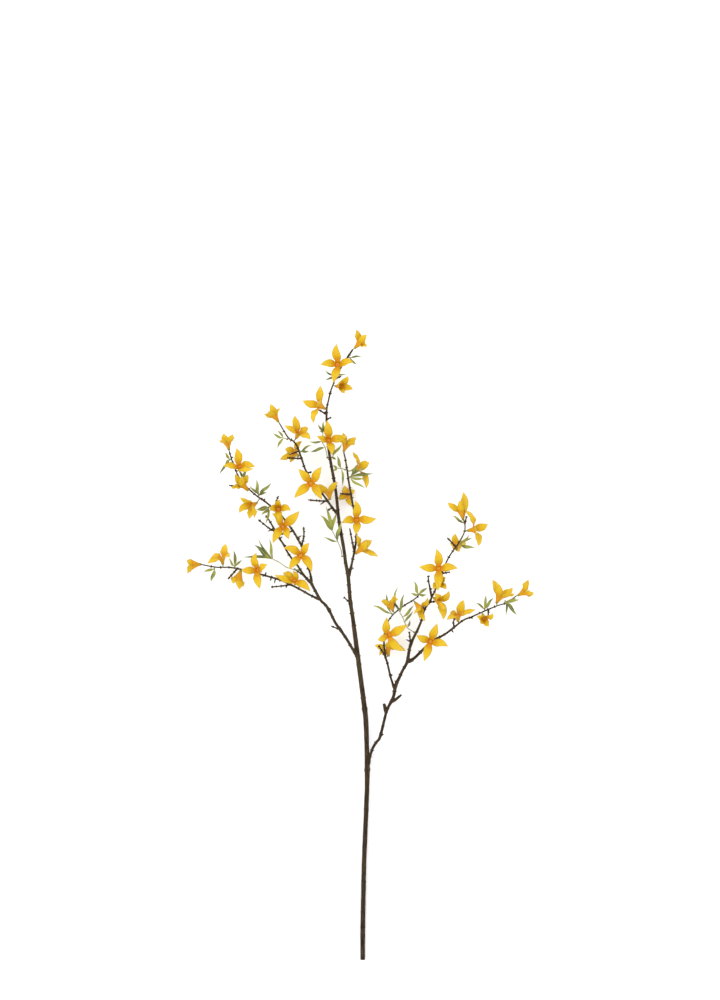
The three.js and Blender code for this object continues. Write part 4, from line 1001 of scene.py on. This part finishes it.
# Each spray: which side of the twig its bud sits on, as [x, y]; the points of its shoot; and its
# leaves, [tip x, tip y, rise of the tip, width], and the shoot point of a leaf below the end.
SPRAYS = {
    "tip": ([-16.8, 718.2], [], [[-0.6, 717.8, 4, 3.1], [-6.6, 709.2, 4, 3.1]]),
    "top": ([-31.8, 694.8], [], [
        [-45.6, 702.6, 4, 2.6], [-45, 690.6, 4, 2.6], [-19.2, 697.2, 4, 2.2],
    ]),
    "stem_left": ([-40.8, 598.2], [[-45, 610.2], [-48.8, 617.4], [-47.4, 627.6]], [
        [-53.4, 638, 4, 3.1], [-46.7, 641.4, 4, 2.9], [-51.8, 629.4, 4, 2.6],
        [-63.6, 617.4, 4, 3.1, 1], [-63, 604.7, 4, 3.4, 0],
    ]),
    "stem_right": ([-37.8, 598.2], [], [[-25, 614.4, 4, 3.4], [-31.8, 595.8, 4, 2.9]]),
    "a_high": ([-89.4, 621], [[-94.8, 621.6]], [
        [-108, 627, 4, 3.4], [-102, 630.6, 4, 2.9], [-102, 609, 4, 3.6],
    ]),
    "a_low": ([-72, 606], [], [[-61.4, 612.8, 4, 3.1], [-64.2, 605.4, 4, 2.9]]),
    "r_left": ([-20.4, 583.8], [[-25.8, 585], [-30.6, 585.6]], [
        [-30.6, 600, 4, 3.8, 0], [-35.4, 589.2, 4, 2.9], [-34.8, 581.4, 4, 2.9],
        [-23.9, 564, 4, 2.9, 0],
    ]),
    "r_right": ([-15, 574.8], [], [
        [-3.6, 591.6, 9, 3.4], [2.4, 587.4, 10, 3.6], [13.2, 579, 4, 3.8], [2.5, 572.4, 4, 3.4],
        [3, 561, 4, 3.4],
    ]),
    "long_left": ([-22.8, 479.9], [[-26.2, 487.8], [-30, 497.4], [-36.4, 510]], [
        [-51, 529.2, 4, 5], [-43.8, 539.4, 4, 4.1], [-31.2, 531.6, 4, 4.8],
        [-25.8, 521.4, 4, 4.6, 1], [-46.8, 503, 4, 2.6, 1],
    ]),
    "h_long": ([-82.2, 460.2], [[-90, 466.2], [-100.2, 472.8], [-107.4, 476.4]], [
        [-130.2, 493.8, 4, 5.8], [-143.4, 478.8, 4, 3.8], [-112, 501, 4, 3.4],
        [-125.4, 502.2, 4, 2.9],
    ]),
    "k_mid": ([-124.7, 552.6], [], [
        [-127.4, 571.8, 4, 3.8], [-109.4, 568.2, 4, 3.8], [-114, 555.7, 4, 2.9],
        [-135, 564, 4, 2.9],
    ]),
    "j_tip": ([-114.6, 535.8], [], [
        [-127.8, 536, 4, 5.5], [-121.4, 529.2, 4, 3.6], [-116.4, 518.4, 4, 3.1],
    ]),
    "k_tip": ([-157.8, 595.8], [], [
        [-164.4, 604.8, 4, 3.4], [-164.4, 590.6, 4, 2.9], [-172.2, 577.1, 4, 2.9],
    ]),
    "k_high": ([-145.2, 571.8], [], [[-148.2, 583.2, -1, 2.9], [-138.6, 584.4, 4, 3.4]]),
    "h_low": ([-153.6, 466.2], [], [
        [-154.6, 487.2, 4, 3.8], [-144.6, 475.8, 4, 2.6], [-160.2, 477.6, 4, 2.6],
    ]),
    "h_tip": ([-177.6, 465.8], [], [[-190.8, 461, 4, 3.4], [-181.8, 448.7, 4, 4.6]]),
    "right_top": ([120.6, 520.2], [], [[113.4, 523.8, 4, 2.6], [106.2, 528.6, 4, 3.1]]),
    "right_high": ([115.2, 495], [], [
        [131.2, 502.2, 4, 3.6], [134.5, 490, 4, 4.3], [127.1, 505.8, 4, 2.9],
    ]),
    "c_tip": ([66.6, 433.2], [], [
        [61, 450.6, 4, 3.8], [57, 435.6, 4, 3.1], [78, 442.8, 4, 3.6], [76.2, 434.4, 4, 3.6],
    ]),
    "c_spray": ([56.8, 391.2], [[53.4, 394.2], [50.4, 400.2], [47.9, 406.9], [44.4, 412.2]], [
        [61.2, 421.4, 4, 3.4, 2], [60, 414.6, 4, 2.9, 1], [56.4, 403.8, 4, 2.9, 0],
        [49.8, 435.6, 4, 3.6], [37.8, 429, -5, 2.9],
    ]),
    "c_mid": ([34.8, 411], [], [
        [27.4, 436.2, -5, 3.8], [9.4, 420.6, 4, 3.4], [43.4, 444.6, -2, 3.1],
    ]),
    "d_mid": ([146, 416], [], [[135, 424.2, 4, 3.1], [147.5, 434, 4, 3.4], [156.6, 430.4, 4, 3.6]]),
    "d_tip": ([171, 425.4], [], [
        [187.8, 428, 4, 3.6], [184.8, 409.4, 4, 4.3], [171.7, 409.1, 4, 2.9],
        [184.2, 429.6, 4, 2.9],
    ]),
}


def leaf_fullness(share):
    """Width of a leaf at a share of its length: a short stalk, then a lance-shaped blade."""
    return max(LEAF_STALK * (1 - share), math.sin(math.pi * share ** 0.85) ** 1.1)


def lay_leaf(bm, root, tip, width, roll, wave):
    """One leaf from its root to its tip."""
    length = (tip - root).length
    along = (tip - root).normalized()
    wide = UP.cross(along).normalized()
    wide.rotate(Quaternion(along, roll))
    face = along.cross(wide)

    def place(i, j):
        s = 2 * i / LEAF_COLUMNS - 1
        share = j / LEAF_ROWS
        full = leaf_fullness(share) if 0 < share < 1 else 0
        saw = 1 + SAW_DEPTH * (1 if j % 2 else -1) * (abs(s) > 0.9)
        middle = root.lerp(tip, share) + face * 4 * LEAF_ARCH * length * share * (1 - share)
        middle += wide * wave * length * math.sin(2 * math.pi * share)
        fold = LEAF_CREASE * full * abs(s) ** 1.3
        return middle + wide * s * width / 2 * full * saw + face * fold

    lay_sheet(bm, LEAF_COLUMNS, LEAF_ROWS, place)


# Young leaf skin: satin green above, with a pale midrib and a lighter edge, duller where it is
# mottled. Light passes through it a little.
LEAF_MOTTLE = 12.5
leaf_material = new_material("leaf")
_, _, from_rib = blade_map(leaf_material)
fresh_leaf = mottle(leaf_material, LEAF_MOTTLE, 3, [(0.38, LEAF_DARK), (0.58, LEAF_GREEN)])
leaf_tone, leaf_shares = lay_tones(leaf_material, fresh_leaf, [
    (from_rib, 0.1, 0.03, 0.75, LEAF_PALE),
    (from_rib, 0.4, 0.5, 0.3, LEAF_PALE)])
pale_share = add_node(leaf_material, "Math", {"operation": "MAXIMUM"},
                      {"Value": leaf_shares[0], "Value_001": leaf_shares[1]}).outputs["Value"]
leaf_bump = add_node(leaf_material, "Bump", {"Strength": 0.4, "Distance": BUMP_DEPTH * MM},
                     {"Height": pale_share}).outputs["Normal"]
close_material(leaf_material, {
    "Roughness": 0.5, "IOR": 1.42, "Subsurface Weight": 0.1, "Subsurface Radius": (0.5, 1, 0.2),
    "Subsurface Scale": 0.001}, {"Base Color": leaf_tone, "Normal": leaf_bump})

shoot_bm = new_sheet_mesh()
leaf_draws = seeded_draws(53)
leaf_looks = random.Random(3)
for name, (seat, stalk, leaves) in SPRAYS.items():
    spot, width, _ = nearest_wood(*seat, all_lines)
    out = Vector((seat[0] - spot.x, seat[1] - spot.y, 0)).normalized()
    out = (out + UP * BEAD_LIFT).normalized()
    bud = spot + out * (width / 2 + SEAT_GAP + BEAD_RADIUS)
    lay_bead(shoot_bm, bud, out, BEAD_RADIUS, BEAD_STRETCH)
    joints = [Vector((x, y, bud.z + (i + 1) * SHOOT_CLIMB)) for i, (x, y) in enumerate(stalk)]
    if joints:
        widths = [2 * SHOOT_RADIUS] * (len(joints) + 1)
        rings = line_rings(smooth_line([bud, *joints], widths, SHOOT_STEP))
        ends = [[*ring[:2], 0] for ring in (rings[0], rings[-1])]
        lay_tube(shoot_bm, [ends[0], *rings, ends[1]], SHOOT_SIDES)
    leaf_bm = new_sheet_mesh()
    for x, y, rise, leaf_width, *grows_from in leaves:
        joint = joints[grows_from[0] if grows_from else -1] if joints else bud
        tip = Vector((x, y, joint.z + rise))
        root = joint + (tip - joint).normalized() * LEAF_ROOT_DEPTH
        roll = (next(leaf_draws) * 2 - 1) * LEAF_ROLL
        lay_leaf(leaf_bm, root, tip, leaf_width, roll, leaf_looks.uniform(-LEAF_WAVE, LEAF_WAVE))
    blades = finish_piece(leaf_bm, "blades_" + name, [leaf_material], ["leaves_" + name])
    thicken(blades, LEAF_SKIN)

# Soft shoots and buds: grey green skin with brown bud scales, matt.
SHOOT_MOTTLE = 5.556
shoot_material = mottled_material(
    "shoot", SHOOT_MOTTLE, 2, [(0.36, BUD_BROWN), (0.54, SHOOT_GREEN)],
    {"Roughness": 0.6, "IOR": 1.42})
finish_piece(shoot_bm, "leaf_shoots", [shoot_material])

# ---- Floor, light and camera ----
# A plain white table under a large soft light and an even white room. The camera looks straight
# down on the branch. None of them is part of it, and their sizes are in metres.
FLOOR_WHITE = "#FBFBFB"
FLOOR_SIDE = 14
FLOOR_DROP = 0.0001
ROOM_WHITE = "#FFFFFF"
ROOM_LIGHT = 1.35
SOFTBOX_POWER = 30
SOFTBOX_SIDE = 2.4
SOFTBOX_PLACE = (-1.6, 1.6, 2.6)
CAMERA_AIM = (-0.0033, 0.5473, 0.02)
CAMERA_HEIGHT = 5.02
CAMERA_LENS = 150.1
CAMERA_SENSOR = 36
CAMERA_REACH = 50

floor_bm = bmesh.new()
bmesh.ops.create_grid(floor_bm, x_segments=1, y_segments=1, size=FLOOR_SIDE / 2,
                      matrix=Matrix.Translation((0, 0, -FLOOR_DROP)))
floor_mesh = bpy.data.meshes.new("floor")
floor_bm.to_mesh(floor_mesh)
floor_bm.free()
floor_material = new_material("floor_white")
close_material(floor_material, {
    "Base Color": linear(FLOOR_WHITE), "Roughness": 0.9, "Specular IOR Level": 0.1})
floor_mesh.materials.append(floor_material)
floor = place_object("floor", floor_mesh)

room = bpy.data.worlds.new("room")
room.use_nodes = True
backdrop = room.node_tree.nodes["Background"].inputs
backdrop["Color"].default_value = linear(ROOM_WHITE)
backdrop["Strength"].default_value = ROOM_LIGHT
bpy.context.scene.world = room

softbox_light = bpy.data.lights.new("softbox", "AREA")
softbox_light.energy = SOFTBOX_POWER
softbox_light.shape = "SQUARE"
softbox_light.size = SOFTBOX_SIDE
softbox = place_object("softbox", softbox_light)
softbox.location = SOFTBOX_PLACE
softbox.rotation_mode = "QUATERNION"
softbox.rotation_quaternion = (Vector(SOFTBOX_PLACE) - Vector(CAMERA_AIM)).to_track_quat("Z", "Y")

camera_data = bpy.data.cameras.new("camera")
camera_data.lens = CAMERA_LENS
camera_data.sensor_width = CAMERA_SENSOR
camera_data.clip_end = CAMERA_REACH
camera = place_object("camera", camera_data)
camera.location = Vector(CAMERA_AIM) + UP * (CAMERA_HEIGHT - CAMERA_AIM[2])
bpy.context.scene.camera = camera
bpy.context.scene.view_settings.view_transform = "Standard"
